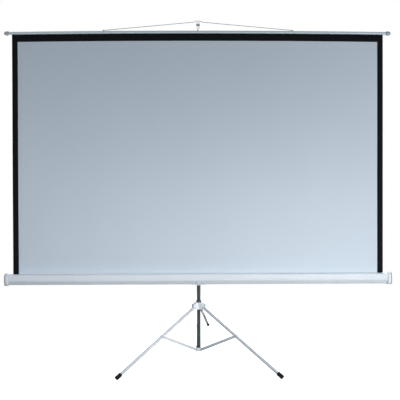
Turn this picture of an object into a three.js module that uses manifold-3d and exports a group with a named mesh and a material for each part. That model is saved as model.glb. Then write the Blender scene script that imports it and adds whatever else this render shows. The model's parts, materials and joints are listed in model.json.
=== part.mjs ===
// Tripod projection screen: a spring-roller screen in a long case, hung from a
// telescoping mast that stands on three braced legs.
// Millimetres, +Z up. The viewer stands in front and looks along +Y.

import * as THREE from 'three';
import { mergeVertices } from 'three/addons/utils/BufferGeometryUtils.js';
import Module from 'manifold-3d';

const wasm = await Module();
wasm.setup();

// Running and seating gap between neighbouring pieces
const CLEARANCE = 0.3;
// How far a cutting shape runs past the face that it cuts
const CUT_MARGIN = 1;
// Sides of the round tubes, of the legs, of small round fasteners and of the two wires
const TUBE_SIDES = 20;
const LEG_SIDES = 14;
const PIN_SIDES = 8;
const WIRE_SIDES = 8;
const SPRING_SIDES = 5;
const SPRING_STEPS = 8;

// Picture surface
const FABRIC_WIDTH = 2400;
const FABRIC_HEIGHT = 1553;
const FABRIC_THICKNESS = 0.6;
const BORDER_SIDE = 36.5;
const BORDER_TOP = 46;
const BORDER_THICKNESS = 0.4;

// Case
const CASE_DEPTH = 64;
const CASE_HEIGHT = 68;
const CASE_WALL = 1.5;
const CASE_SIDE_ROOM = 24;
const CASE_SLOT_WIDTH = 6;
const CASE_BELT_DROP = 8;
const CASE_BASE_WIDTH = 28;
const CASE_SHOULDER = 10;
const CASE_CORNER = 5;
const CAP_THICKNESS = 24;
const CAP_ROUNDING = 7;
const CAP_OVERHANG = 6;
const CAP_PLUG_LENGTH = 14;

// Spring roller
const ROLLER_DIAMETER = 26;
const ROLLER_WALL = 1.2;
const ROLL_BUILD = 2.6;
const AXLE_DIAMETER = 12;
const AXLE_LENGTH = 420;
const ROLLER_PLUG_LENGTH = 26;
const ROLLER_PIN_DIAMETER = 8;
const SPRING_TURNS = 10;
const SPRING_PITCH = 18;
const SPRING_WIRE = 2.4;

// Top slat with its hanger wire
const SLAT_DIAMETER = 19.5;
const SLAT_WALL = 1.5;
const SLAT_OVERHANG = 17;
const FINIAL_DIAMETER = 28;
const FINIAL_LENGTH = 34;
const FINIAL_PLUG_LENGTH = 22;
const WIRE_DIAMETER = 4;
const WIRE_SPAN = 1212;
const WIRE_RISE = 62.5;
const WIRE_CREST_WIDTH = 26;
const WIRE_CREST_RISE = 7;
const WIRE_SHOULDER_DROP = 8;
const CLIP_DIAMETER = 10;
const CLIP_HEIGHT = 7;

// Mast: post, sleeve over it, rod inside both
const POST_DIAMETER = 24;
const POST_WALL = 1.2;
const POST_LENGTH = 940;
const BUSH_HEIGHT = 12;
const SLEEVE_DIAMETER = 27.4;
const SLEEVE_WALL = 1;
const SLEEVE_LENGTH = 880;
const ROD_DIAMETER = 20;
const ROD_WALL = 1.2;
const ROD_OVERLAP = 150;
const COLLAR_DIAMETER = 36;
const COLLAR_HEIGHT = 34;
const COLLAR_SOCKET = 8;
const COLLAR_SHOWS = 13;
const KNOB_DIAMETER = 26;
const KNOB_DEPTH = 14;
const KNOB_LOBES = 6;
const KNOB_LOBE_DEPTH = 2;
const KNOB_SHANK_DIAMETER = 6;
const KNOB_STANDOFF = 2;
const KNOB_BEVEL = 1;

// Carrier on the sleeve and saddle under the case
const CARRIER_DIAMETER = 38;
const CARRIER_HEIGHT = 44;
const CARRIER_REACH = 20;
const SADDLE_WIDTH = 90;
const SADDLE_THICKNESS = 2;
const SADDLE_BACK_RISE = 24;
const SADDLE_RIVET_SPACING = 38;
const SADDLE_RIVET_DROP = 12.6;
const STUD_DIAMETER = 10;
const STUD_LENGTH = 5.5;

// Hook on top of the rod
const HOOK_WIDTH = 23;
const HOOK_DEPTH = 20;
const HOOK_SEAT_LIP = 1.6;
const HOOK_ARM_DROP = 18;
const HOOK_ARM_HEIGHT = 26;
const HOOK_PLATE_HEIGHT = 13;
const HOOK_PLATE_THICKNESS = 1.5;
const HOOK_PLATE_DROP = 20;
const HOOK_LIFT = 4;

// Tripod
const REAR_LEG_AZIMUTH = 90;
const LEG_SPACING_ANGLE = 120;
const LEG_AZIMUTHS = {
  left: REAR_LEG_AZIMUTH + LEG_SPACING_ANGLE,
  right: REAR_LEG_AZIMUTH - LEG_SPACING_ANGLE,
  rear: REAR_LEG_AZIMUTH,
};
const LEG_ANGLE = 54.8;
const LEG_LENGTH = 684;
const LEG_DIAMETER = 20;
const LEG_WALL = 1.5;
const LEG_TOP_LENGTH = 10;
const LEG_PIVOT_RADIUS = 36;
const FOOT_DIAMETER = 27;
const FOOT_LENGTH = 42;
const FOOT_SOLE = 12;
const FOOT_FLAT = 4.2;
const PIVOT_SPACING = 273;
const BRACE_REACH = 287;
const BRACE_PIVOT_RADIUS = 24;
const BRACE_HEIGHT = 18;
const BRACE_WALL = 1.6;
const BRACE_HUB_RELIEF = 18;
const BRACE_LEG_RELIEF = 30;
const BRACE_PLAY = 1.7;
const RIVET_DIAMETER = 5;
const RIVET_HEAD_DIAMETER = 9;
const RIVET_HEAD_HEIGHT = 2.2;

// Hubs
const HUB_CORE_DIAMETER = 40;
const HUB_HEIGHT = 47;
const HUB_BELOW_PIVOT = 13;
const HUB_SHOULDER_DROP = 13;
const HUB_CHEEK = 4.5;
const HUB_EYE_RADIUS = 10;
const LOWER_HUB_DIAMETER = 32;
const LOWER_HUB_ABOVE_PIVOT = 9;
const LOWER_HUB_BELOW_PIVOT = 12;
const LOWER_HUB_FLOOR = 5;
const LOWER_HUB_EYE_RADIUS = 7;
const LOCK_RING_HEIGHT = 16;
const LOCK_RING_WALL = 1.8;
const LOCK_RING_FLARE = 4;
const FOLD_ROOM = 95;

// Lock lever under the hub
const LEVER_AZIMUTH = 30;
const LEVER_PIVOT_RADIUS = 34;
const LEVER_PIVOT_DROP = 43;
const LEVER_ANGLE = 25;
const LEVER_LENGTH = 66;
const LEVER_HEEL = 12;
const LEVER_WIDTH = 14;
const LEVER_THICKNESS = 9;
const LEVER_CHEEK = 2.5;
const LEVER_EYE_RADIUS = 8.5;
const LEVER_LUG_ROOT = 10;
const GRIP_LENGTH = 22;
const GRIP_NECK_DIAMETER = 14;
const GRIP_DIAMETER = 17;
const GRIP_BEVEL = 1;
const GRIP_KICK = 10;
const GRIP_KICK_BASE = 11;
const GRIP_KICK_TIP = 7;
const TANG_LENGTH = 14;
const TANG_SIZE = 4;

const radians = THREE.MathUtils.degToRad;

// Heights and places that follow from the driving sizes
const legAngle = radians(LEG_ANGLE);
const pivotZ = LEG_LENGTH * Math.cos(legAngle) + FOOT_DIAMETER / 2 * Math.sin(legAngle) - FOOT_FLAT;
const hubBottomZ = pivotZ - HUB_BELOW_PIVOT;
const hubTopZ = hubBottomZ + HUB_HEIGHT;
const lockRingTopZ = hubTopZ + CLEARANCE + LOCK_RING_HEIGHT;
const lowerPivotZ = pivotZ - PIVOT_SPACING;
const lowerHubBottomZ = lowerPivotZ - LOWER_HUB_BELOW_PIVOT;
const postBottomZ = lowerHubBottomZ + LOWER_HUB_FLOOR + CLEARANCE;
const collarBottomZ = lockRingTopZ + FOLD_ROOM;
const collarTopZ = collarBottomZ + COLLAR_HEIGHT;
const sleeveBottomZ = collarTopZ - COLLAR_SOCKET + CLEARANCE;
const sleeveTopZ = sleeveBottomZ + SLEEVE_LENGTH;
const rodCollarTopZ = sleeveTopZ + CLEARANCE - COLLAR_SOCKET + COLLAR_HEIGHT;
const caseZ = collarBottomZ + COLLAR_SHOWS + CASE_HEIGHT / 2;
const caseTopZ = caseZ + CASE_HEIGHT / 2;
const carrierBottomZ = collarTopZ + CLEARANCE;
const carrierZ = carrierBottomZ + CARRIER_HEIGHT / 2;
const slatZ = caseTopZ + FABRIC_HEIGHT + SLAT_DIAMETER / 2;
const slatTopZ = slatZ + SLAT_DIAMETER / 2;
const wireCrestZ = slatTopZ + WIRE_RISE;
const saddleOffset = CLEARANCE + SADDLE_THICKNESS;
const caseY = -(CARRIER_REACH + CLEARANCE + saddleOffset + CASE_DEPTH / 2);
const rollRadius = ROLLER_DIAMETER / 2 + CLEARANCE + ROLL_BUILD;
const fabricY = caseY + rollRadius + CLEARANCE + FABRIC_THICKNESS / 2;
const shellLength = FABRIC_WIDTH + 2 * CASE_SIDE_ROOM;
const slatLength = FABRIC_WIDTH + 2 * SLAT_OVERHANG;
const postRadius = POST_DIAMETER / 2;
const legSlot = LEG_DIAMETER + 2 * CLEARANCE;
const braceWidth = legSlot + 2 * BRACE_WALL;
const braceJointRadius = LEG_PIVOT_RADIUS + BRACE_REACH * Math.sin(legAngle);
const braceJointZ = pivotZ - BRACE_REACH * Math.cos(legAngle);
const braceRun = braceJointRadius - BRACE_PIVOT_RADIUS;
const braceRise = braceJointZ - lowerPivotZ;
const braceLength = Math.hypot(braceRun, braceRise);
const braceAngle = Math.atan2(braceRise, braceRun);

// Finishes
function finish(color, roughness, metalness) {
  return new THREE.MeshStandardMaterial({ color, roughness, metalness });
}

const whitePaint = finish(0xe6eaee, 0.4, 0);
const legPaint = finish(0xd2d6d9, 0.42, 0);
const whitePlastic = finish(0xeef0f2, 0.5, 0);
const darkTube = finish(0x474e50, 0.35, 0.6);
const brightTube = finish(0xc9cdd0, 0.3, 0.8);
const slatMetal = finish(0x9ba5ab, 0.35, 0.8);
const steel = finish(0x8c9194, 0.35, 0.9);
const blackPlastic = finish(0x141516, 0.5, 0);
const blackRubber = finish(0x0c0c0d, 0.85, 0);
const matteWhite = finish(0xdfe6ec, 0.9, 0);
const matteBlack = finish(0x0d0f11, 0.9, 0);

// Solids: a closed geometry becomes a solid, and a solid a geometry again
function toSolid(geometry) {
  const bare = geometry.index ? geometry.toNonIndexed() : geometry.clone();
  bare.deleteAttribute('normal');
  bare.deleteAttribute('uv');
  const merged = mergeVertices(bare, 1e-4);
  const corners = merged.index.array;
  const kept = [];
  for (let i = 0; i < corners.length; i += 3) {
    const [a, b, c] = [corners[i], corners[i + 1], corners[i + 2]];
    if (a !== b && b !== c && c !== a) kept.push(a, b, c);
  }
  return new wasm.Manifold(new wasm.Mesh({
    numProp: 3,
    vertProperties: new Float32Array(merged.attributes.position.array),
    triVerts: new Uint32Array(kept),
  }));
}

function toGeometry(solid) {
  const mesh = solid.getMesh();
  const geometry = new THREE.BufferGeometry();
  geometry.setAttribute('position', new THREE.BufferAttribute(mesh.vertProperties, 3));
  geometry.setIndex(new THREE.BufferAttribute(mesh.triVerts, 1));
  const faceted = geometry.toNonIndexed();
  faceted.computeVertexNormals();
  return faceted;
}

function join(first, ...others) {
  return toGeometry(others.reduce((solid, other) => solid.add(toSolid(other)), toSolid(first)));
}

function cut(base, ...tools) {
  return toGeometry(tools.reduce((solid, tool) => solid.subtract(toSolid(tool)), toSolid(base)));
}

// A box given by its lowest corner and its size
function block(x, y, z, width, depth, height) {
  return new THREE.BoxGeometry(width, depth, height)
    .translate(x + width / 2, y + depth / 2, z + height / 2);
}

// A round bar from z = 0 upwards
function bar(radius, length, sides = TUBE_SIDES) {
  return new THREE.CylinderGeometry(radius, radius, length, sides)
    .rotateX(Math.PI / 2)
    .translate(0, 0, length / 2);
}

// A turned piece about Z, from [radius, height] pairs that run upwards on the outside
function turned(profile, sides = TUBE_SIDES) {
  const points = profile.map(([radius, height]) => new THREE.Vector2(radius, height));
  return new THREE.LatheGeometry(points, sides).rotateX(Math.PI / 2);
}

// An open tube from z = 0 upwards
function tube(outer, inner, length, sides = TUBE_SIDES) {
  return turned([[inner, 0], [outer, 0], [outer, length], [inner, length], [inner, 0]], sides);
}

// A bar centred on the origin along Y, for cross holes and pins
function crossBar(radius, length, sides = PIN_SIDES) {
  return bar(radius, length, sides).translate(0, 0, -length / 2).rotateX(Math.PI / 2);
}

// A plate drawn in the X and Z directions, centred on Y with the given thickness
function sidePlate(shape, thickness, curveSegments = 5) {
  return new THREE.ExtrudeGeometry(shape, { depth: thickness, bevelEnabled: false, curveSegments })
    .translate(0, 0, -thickness / 2)
    .rotateX(Math.PI / 2);
}

// A link outline between two round ends on the X axis
function linkShape(start, end, radius) {
  const shape = new THREE.Shape();
  shape.moveTo(start, -radius);
  shape.lineTo(end, -radius);
  shape.absarc(end, 0, radius, -Math.PI / 2, Math.PI / 2, false);
  shape.lineTo(start, radius);
  shape.absarc(start, 0, radius, Math.PI / 2, 3 * Math.PI / 2, false);
  return shape;
}

// A rivet along Y whose shank spans the given width between its two domed heads
function rivet(span) {
  const head = RIVET_HEAD_DIAMETER / 2;
  const shank = RIVET_DIAMETER / 2;
  const half = span / 2 + CLEARANCE;
  const rim = half + RIVET_HEAD_HEIGHT / 2;
  const top = half + RIVET_HEAD_HEIGHT;
  const crown = head / 2;
  return turned([
    [0, -top], [crown, -top], [head, -rim], [head, -half], [shank, -half],
    [shank, half], [head, half], [head, rim], [crown, top], [0, top],
  ], PIN_SIDES).rotateX(Math.PI / 2);
}

// A route that visits its own points, one at each step of a swept tube
class Route extends THREE.Curve {
  constructor(points) {
    super();
    this.points = points;
  }

  getPointAt(share, target = new THREE.Vector3()) {
    const last = this.points.length - 1;
    const place = Math.min(share, 1) * last;
    const index = Math.min(Math.floor(place + 1e-6), last - 1);
    return target.lerpVectors(this.points[index], this.points[index + 1], place - index);
  }

  getPoint(share, target) {
    return this.getPointAt(share, target);
  }

  getSpacedPoints() {
    return this.points.map((point) => point.clone());
  }

  getTangentAt(share, target = new THREE.Vector3()) {
    const last = this.points.length - 1;
    const index = Math.round(share * last);
    const before = this.points[Math.max(index - 1, 0)];
    const after = this.points[Math.min(index + 1, last)];
    return target.subVectors(after, before).normalize();
  }
}

// A round wire along a list of points
function wire(points, diameter, sides) {
  const section = new THREE.Shape(new THREE.EllipseCurve(0, 0, diameter / 2, diameter / 2)
    .getPoints(sides).slice(0, sides));
  return new THREE.ExtrudeGeometry(section, {
    steps: points.length - 1,
    bevelEnabled: false,
    extrudePath: new Route(points),
  });
}

function piece(name, geometry, material) {
  const mesh = new THREE.Mesh(geometry, material);
  mesh.name = name;
  return mesh;
}

function group(...children) {
  return new THREE.Group().add(...children);
}

function place(object, x, y, z) {
  object.position.set(x, y, z);
  return object;
}

// Outline of the case in the Y and Z directions, drawn in smaller by the inset
function caseOutline(inset) {
  const half = CASE_DEPTH / 2 - inset;
  const top = CASE_HEIGHT / 2 - inset;
  const bottom = -CASE_HEIGHT / 2 + inset;
  const base = CASE_BASE_WIDTH / 2 - inset / 2;
  const belt = -CASE_BELT_DROP;
  const slant = new THREE.Vector2(base - half, bottom - belt).normalize().multiplyScalar(CASE_CORNER);
  const outline = new THREE.Shape();
  outline.moveTo(base - CASE_CORNER, bottom);
  outline.quadraticCurveTo(base, bottom, base - slant.x, bottom - slant.y);
  outline.lineTo(half + slant.x, belt + slant.y);
  outline.quadraticCurveTo(half, belt, half, belt + CASE_CORNER);
  outline.lineTo(half, top - CASE_SHOULDER);
  outline.quadraticCurveTo(half, top, half - CASE_SHOULDER, top);
  outline.lineTo(-half + CASE_SHOULDER, top);
  outline.quadraticCurveTo(-half, top, -half, top - CASE_SHOULDER);
  outline.lineTo(-half, belt + CASE_CORNER);
  outline.quadraticCurveTo(-half, belt, -half - slant.x, belt + slant.y);
  outline.lineTo(-base + slant.x, bottom - slant.y);
  outline.quadraticCurveTo(-base, bottom, -base + CASE_CORNER, bottom);
  return outline;
}

// A length of case section along X, centred on x = 0
function caseSection(inset, length, bevel = 0) {
  return new THREE.ExtrudeGeometry(caseOutline(inset + bevel), {
    depth: length - 2 * bevel,
    curveSegments: 3,
    bevelEnabled: bevel > 0,
    bevelThickness: bevel,
    bevelSize: bevel,
    bevelSegments: 3,
  })
    .translate(0, 0, -length / 2 + bevel)
    .rotateX(Math.PI / 2)
    .rotateZ(Math.PI / 2);
}

// Middle of the slanted front face of the case, where the saddle is riveted
const slantTop = { y: -CASE_DEPTH / 2, z: -CASE_BELT_DROP };
const slantFoot = { y: -CASE_BASE_WIDTH / 2, z: -CASE_HEIGHT / 2 };
const slantTilt = Math.atan2(slantFoot.y - slantTop.y, slantTop.z - slantFoot.z);
const rivetY = slantTop.y + SADDLE_RIVET_DROP * Math.sin(slantTilt);
const rivetZ = slantTop.z - SADDLE_RIVET_DROP * Math.cos(slantTilt);
const saddleRivetSides = [['left', -1], ['right', 1]];

// A shape that points along the outward normal of the slanted face, set at one rivet
function atSaddleRivet(geometry, side) {
  return geometry.rotateX(Math.PI / 2 + slantTilt)
    .translate(side * SADDLE_RIVET_SPACING / 2, rivetY, rivetZ);
}

function saddleHole(side) {
  const depth = 4 * (saddleOffset + CASE_WALL);
  const hole = bar(RIVET_DIAMETER / 2 + CLEARANCE, depth, PIN_SIDES).translate(0, 0, -depth / 2);
  return atSaddleRivet(hole, side);
}

function saddleRivet(side) {
  const seat = saddleOffset + CLEARANCE;
  const tail = -2 * CASE_WALL;
  const head = RIVET_HEAD_DIAMETER / 2;
  const shank = RIVET_DIAMETER / 2;
  const rim = seat + RIVET_HEAD_HEIGHT / 2;
  const profile = [[0, tail], [shank, tail], [shank, seat], [head, seat], [head, rim],
    [head / 2, seat + RIVET_HEAD_HEIGHT], [0, seat + RIVET_HEAD_HEIGHT]];
  return atSaddleRivet(turned(profile, PIN_SIDES), side);
}

function makeCase() {
  const slotLength = FABRIC_WIDTH + CASE_SIDE_ROOM;
  const slot = block(-slotLength / 2, fabricY - caseY - CASE_SLOT_WIDTH / 2, 0,
    slotLength, CASE_SLOT_WIDTH, CASE_HEIGHT);
  const bore = caseSection(CASE_WALL, shellLength + 2 * CASE_WALL);
  const holes = saddleRivetSides.map(([, side]) => saddleHole(side));
  const shell = cut(caseSection(0, shellLength), bore, slot, ...holes);
  return group(piece('case_shell', shell, whitePaint));
}

// An end cap for the +X end: a rounded disc with a plug that fits inside the shell
function endCap(socketRadius, socketDepth) {
  const disc = caseSection(-CAP_OVERHANG, CAP_THICKNESS, CAP_ROUNDING)
    .translate(shellLength / 2 + CLEARANCE + CAP_THICKNESS / 2, 0, 0);
  const plugEnd = shellLength / 2 - CAP_PLUG_LENGTH;
  const plug = caseSection(CASE_WALL + 2 * CLEARANCE, CAP_PLUG_LENGTH + CAP_THICKNESS / 2)
    .translate(plugEnd + (CAP_PLUG_LENGTH + CAP_THICKNESS / 2) / 2, 0, 0);
  const socket = bar(socketRadius + CLEARANCE, socketDepth)
    .rotateY(Math.PI / 2)
    .translate(plugEnd, 0, 0);
  return cut(join(disc, plug), socket);
}

const capSocketDepth = CAP_PLUG_LENGTH + CAP_THICKNESS / 2;
const pinEnd = shellLength / 2 - CAP_PLUG_LENGTH + capSocketDepth - 2 * CLEARANCE;

function makeEndCaps() {
  const left = endCap(AXLE_DIAMETER / 2, capSocketDepth).rotateZ(Math.PI);
  const right = endCap(ROLLER_PIN_DIAMETER / 2, capSocketDepth);
  return group(
    piece('end_cap_left', left, whitePlastic),
    piece('end_cap_right', right, whitePlastic),
  );
}

// The fixed axle and the spring wound on it, inside the left end of the roller
function makeSpringAxle() {
  const axle = bar(AXLE_DIAMETER / 2, AXLE_LENGTH)
    .rotateY(Math.PI / 2)
    .translate(-pinEnd, 0, 0);
  const flatRadius = AXLE_DIAMETER / 2 + CLEARANCE + SPRING_WIRE / 2;
  const coilRadius = flatRadius / Math.cos(Math.PI / SPRING_STEPS);
  const coilStart = -shellLength / 2 + CAP_PLUG_LENGTH + ROLLER_PLUG_LENGTH + SPRING_PITCH;
  const points = [];
  for (let step = 0; step <= SPRING_TURNS * SPRING_STEPS; step += 1) {
    const turn = step / SPRING_STEPS;
    const angle = 2 * Math.PI * turn;
    points.push(new THREE.Vector3(coilStart + SPRING_PITCH * turn,
      coilRadius * Math.cos(angle), coilRadius * Math.sin(angle)));
  }
  reportGap('roller spring', points, SPRING_WIRE, SPRING_STEPS);
  return group(
    piece('spring_axle', axle, steel),
    piece('roller_spring', wire(points, SPRING_WIRE, SPRING_SIDES), steel),
  );
}

// Print the least gap between one turn of a winding and the next
function reportGap(name, points, diameter, stepsPerTurn) {
  let least = Infinity;
  for (let i = 0; i < points.length; i += 1) {
    for (let j = i + Math.floor(stepsPerTurn / 2); j < points.length; j += 1) {
      least = Math.min(least, points[i].distanceTo(points[j]) - diameter);
    }
  }
  console.log(`${name}: least gap between turns ${least.toFixed(2)} mm`);
}

function makeRoller() {
  const roller = ROLLER_DIAMETER / 2;
  const bore = roller - ROLLER_WALL;
  const endRoom = CAP_PLUG_LENGTH + CLEARANCE;
  const length = shellLength - 2 * endRoom;
  const along = (geometry, start) => geometry.rotateY(Math.PI / 2).translate(start, 0, 0);
  const body = along(tube(roller, bore, length), -length / 2);
  const roll = along(tube(rollRadius, roller + CLEARANCE, FABRIC_WIDTH), -FABRIC_WIDTH / 2);
  const plugRadius = bore - CLEARANCE;
  const axleBore = AXLE_DIAMETER / 2 + CLEARANCE;
  const bushing = along(tube(plugRadius, axleBore, ROLLER_PLUG_LENGTH), -length / 2);
  const plug = bar(plugRadius, ROLLER_PLUG_LENGTH);
  const pinLength = pinEnd - length / 2;
  const pin = bar(ROLLER_PIN_DIAMETER / 2, pinLength + ROLLER_PLUG_LENGTH);
  const pinPlug = along(join(plug, pin), length / 2 - ROLLER_PLUG_LENGTH);
  return group(
    piece('roller_tube', body, steel),
    piece('fabric_roll', roll, matteWhite),
    piece('roller_bush', bushing, whitePlastic),
    piece('roller_pin_plug', pinPlug, steel),
  );
}

// The sheet runs straight up from the roll to the slat, with the black mask on its front
function makeFabric() {
  const top = slatZ - SLAT_DIAMETER / 2 - CLEARANCE;
  const sheet = block(-FABRIC_WIDTH / 2, fabricY - FABRIC_THICKNESS / 2, caseZ,
    FABRIC_WIDTH, FABRIC_THICKNESS, top - caseZ);
  const maskFoot = caseTopZ - CASE_SHOULDER;
  const half = FABRIC_WIDTH / 2;
  const inner = half - BORDER_SIDE;
  const mask = new THREE.Shape();
  mask.moveTo(-half, maskFoot);
  mask.lineTo(-inner, maskFoot);
  mask.lineTo(-inner, top - BORDER_TOP);
  mask.lineTo(inner, top - BORDER_TOP);
  mask.lineTo(inner, maskFoot);
  mask.lineTo(half, maskFoot);
  mask.lineTo(half, top);
  mask.lineTo(-half, top);
  const maskY = fabricY - FABRIC_THICKNESS / 2 - CLEARANCE - BORDER_THICKNESS / 2;
  const border = sidePlate(mask, BORDER_THICKNESS).translate(0, maskY, 0);
  return group(piece('screen_fabric', sheet, matteWhite), piece('black_border', border, matteBlack));
}

// The slat, its two finials and the hanger wire, about the slat's own axis
function makeSlat() {
  const radius = SLAT_DIAMETER / 2;
  const bore = radius - SLAT_WALL;
  const body = tube(radius, bore, slatLength).rotateY(Math.PI / 2).translate(-slatLength / 2, 0, 0);
  const slat = group(piece('top_slat', body, slatMetal));
  const ball = FINIAL_DIAMETER / 2;
  const profile = [[0, -FINIAL_PLUG_LENGTH], [bore - CLEARANCE, -FINIAL_PLUG_LENGTH],
    [bore - CLEARANCE, CLEARANCE], [radius, CLEARANCE]];
  const ballSteps = 6;
  for (let step = 1; step < ballSteps; step += 1) {
    const angle = Math.PI * (step / ballSteps - 0.5);
    const swell = Math.max(ball * Math.cos(angle), step < ballSteps / 2 ? radius : 0);
    profile.push([swell, CLEARANCE + FINIAL_LENGTH * (0.5 + 0.5 * Math.sin(angle))]);
  }
  profile.push([0, CLEARANCE + FINIAL_LENGTH]);
  for (const [side, turn] of [['left', -1], ['right', 1]]) {
    const finial = turned(profile).rotateY(turn * Math.PI / 2).translate(turn * slatLength / 2, 0, 0);
    slat.add(piece(`slat_finial_${side}`, finial, slatMetal));
    const seat = bar(radius + CLEARANCE, 2 * CLIP_DIAMETER)
      .translate(0, 0, -CLIP_DIAMETER)
      .rotateY(Math.PI / 2);
    const clip = cut(bar(CLIP_DIAMETER / 2, radius + CLIP_HEIGHT), seat)
      .translate(turn * (WIRE_SPAN + CLIP_DIAMETER) / 2, 0, 0);
    slat.add(piece(`wire_clip_${side}`, clip, steel));
  }
  const crest = wireCrestZ - slatZ;
  const endX = WIRE_SPAN / 2 - CLEARANCE;
  const endZ = radius + CLIP_HEIGHT / 2 + CLEARANCE;
  const kneeX = WIRE_CREST_WIDTH / 2 + WIRE_CREST_RISE;
  const half = [[endX, endZ], [kneeX + WIRE_CREST_RISE, crest - WIRE_SHOULDER_DROP],
    [kneeX, crest - WIRE_CREST_RISE / 2], [WIRE_CREST_WIDTH / 2, crest]];
  const points = [
    ...half.map(([x, z]) => new THREE.Vector3(-x, 0, z)),
    ...half.reverse().map(([x, z]) => new THREE.Vector3(x, 0, z)),
  ];
  slat.add(piece('hanger_wire', wire(points, WIRE_DIAMETER, WIRE_SIDES), steel));
  return place(slat, 0, fabricY, slatZ);
}

// A clamp collar: a socket that holds the outer tube, and a guide for the tube that slides in it
const knobHeight = (COLLAR_HEIGHT - COLLAR_SOCKET) / 2;

function clampCollar(outerTubeRadius, slidingRadius) {
  const radius = COLLAR_DIAMETER / 2;
  const socketZ = COLLAR_HEIGHT - COLLAR_SOCKET;
  const guide = slidingRadius + CLEARANCE;
  const socket = outerTubeRadius + CLEARANCE;
  const body = turned([[guide, 0], [radius, 0], [radius, COLLAR_HEIGHT], [socket, COLLAR_HEIGHT],
    [socket, socketZ], [guide, socketZ], [guide, 0]]);
  const hole = bar(KNOB_SHANK_DIAMETER / 2 + CLEARANCE, 2 * radius, PIN_SIDES)
    .rotateX(-Math.PI / 2)
    .translate(0, 0, knobHeight);
  return cut(body, hole);
}

// A lobed knob on a screw shank that points along -Y and stops just short of the sliding tube
function clampKnob(slidingRadius) {
  const outline = new THREE.Shape();
  const stepsPerLobe = 6;
  for (let step = 0; step < KNOB_LOBES * stepsPerLobe; step += 1) {
    const angle = 2 * Math.PI * step / (KNOB_LOBES * stepsPerLobe);
    const radius = KNOB_DIAMETER / 2 - KNOB_LOBE_DEPTH / 2 * (1 - Math.cos(KNOB_LOBES * angle));
    const [x, y] = [radius * Math.cos(angle), radius * Math.sin(angle)];
    if (step === 0) outline.moveTo(x, y);
    else outline.lineTo(x, y);
  }
  const headStart = COLLAR_DIAMETER / 2 + KNOB_STANDOFF;
  const head = new THREE.ExtrudeGeometry(outline, {
    depth: KNOB_DEPTH - 2 * KNOB_BEVEL,
    bevelThickness: KNOB_BEVEL,
    bevelSize: KNOB_BEVEL,
    bevelOffset: -KNOB_BEVEL,
    bevelSegments: 1,
  }).translate(0, 0, headStart + KNOB_BEVEL);
  const tip = slidingRadius + CLEARANCE;
  const shank = bar(KNOB_SHANK_DIAMETER / 2, headStart + 2 * KNOB_BEVEL - tip, PIN_SIDES)
    .translate(0, 0, tip);
  return join(head, shank).rotateX(-Math.PI / 2);
}

// Sleeve, its collars, the carrier and the saddle that holds the case
function makeSleeve() {
  const sleeveRadius = SLEEVE_DIAMETER / 2;
  const sleeve = tube(sleeveRadius, sleeveRadius - SLEEVE_WALL, SLEEVE_LENGTH);
  const mastCollar = clampCollar(sleeveRadius, postRadius);
  const rodCollar = clampCollar(sleeveRadius, ROD_DIAMETER / 2).rotateX(Math.PI).rotateZ(Math.PI);
  const carrierRadius = CARRIER_DIAMETER / 2;
  const boss = block(-carrierRadius, -CARRIER_REACH, 0,
    CARRIER_DIAMETER, CARRIER_REACH, CARRIER_HEIGHT);
  const sleeveBore = bar(sleeveRadius + CLEARANCE, 2 * CARRIER_HEIGHT)
    .translate(0, 0, -CARRIER_HEIGHT / 2);
  const studBore = crossBar(STUD_DIAMETER / 2 + CLEARANCE, 2 * (STUD_LENGTH + CLEARANCE), TUBE_SIDES)
    .translate(0, -CARRIER_REACH, CARRIER_HEIGHT / 2);
  const carrier = cut(join(bar(carrierRadius, CARRIER_HEIGHT), boss), sleeveBore, studBore);
  return group(
    place(piece('sleeve_tube', sleeve, darkTube), 0, 0, sleeveBottomZ),
    place(piece('mast_collar', mastCollar, whitePlastic), 0, 0, collarBottomZ),
    place(piece('rod_collar', rodCollar, whitePlastic), 0, 0, rodCollarTopZ),
    place(piece('case_carrier', carrier, whitePlastic), 0, 0, carrierBottomZ),
  );
}

function makeSaddle() {
  const band = cut(caseSection(-saddleOffset, SADDLE_WIDTH), caseSection(-CLEARANCE, 2 * SADDLE_WIDTH));
  const reach = CASE_DEPTH + CASE_HEIGHT;
  const front = block(-reach / 2, -reach, -CASE_BELT_DROP - CASE_CORNER, reach, reach, reach);
  const over = block(-reach / 2, -reach / 2, SADDLE_BACK_RISE, reach, reach, reach);
  const backFace = CASE_DEPTH / 2 + saddleOffset;
  const studY = backFace + (STUD_LENGTH + CLEARANCE - SADDLE_THICKNESS) / 2;
  const stud = crossBar(STUD_DIAMETER / 2, STUD_LENGTH + SADDLE_THICKNESS, TUBE_SIDES)
    .translate(0, studY, carrierZ - caseZ);
  const holes = saddleRivetSides.map(([, side]) => saddleHole(side));
  const strap = cut(join(cut(band, front, over), stud), ...holes);
  const saddle = group(piece('case_saddle', strap, whitePaint));
  for (const [name, side] of saddleRivetSides) {
    saddle.add(piece(`saddle_rivet_${name}`, saddleRivet(side), steel));
  }
  return saddle;
}

function makeKnobs() {
  const mastKnob = piece('mast_knob', clampKnob(postRadius), blackPlastic);
  const rodKnob = piece('rod_knob', clampKnob(ROD_DIAMETER / 2), blackPlastic);
  return group(
    place(mastKnob, 0, 0, collarBottomZ + knobHeight),
    place(rodKnob, 0, 0, rodCollarTopZ - knobHeight),
  );
}

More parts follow.
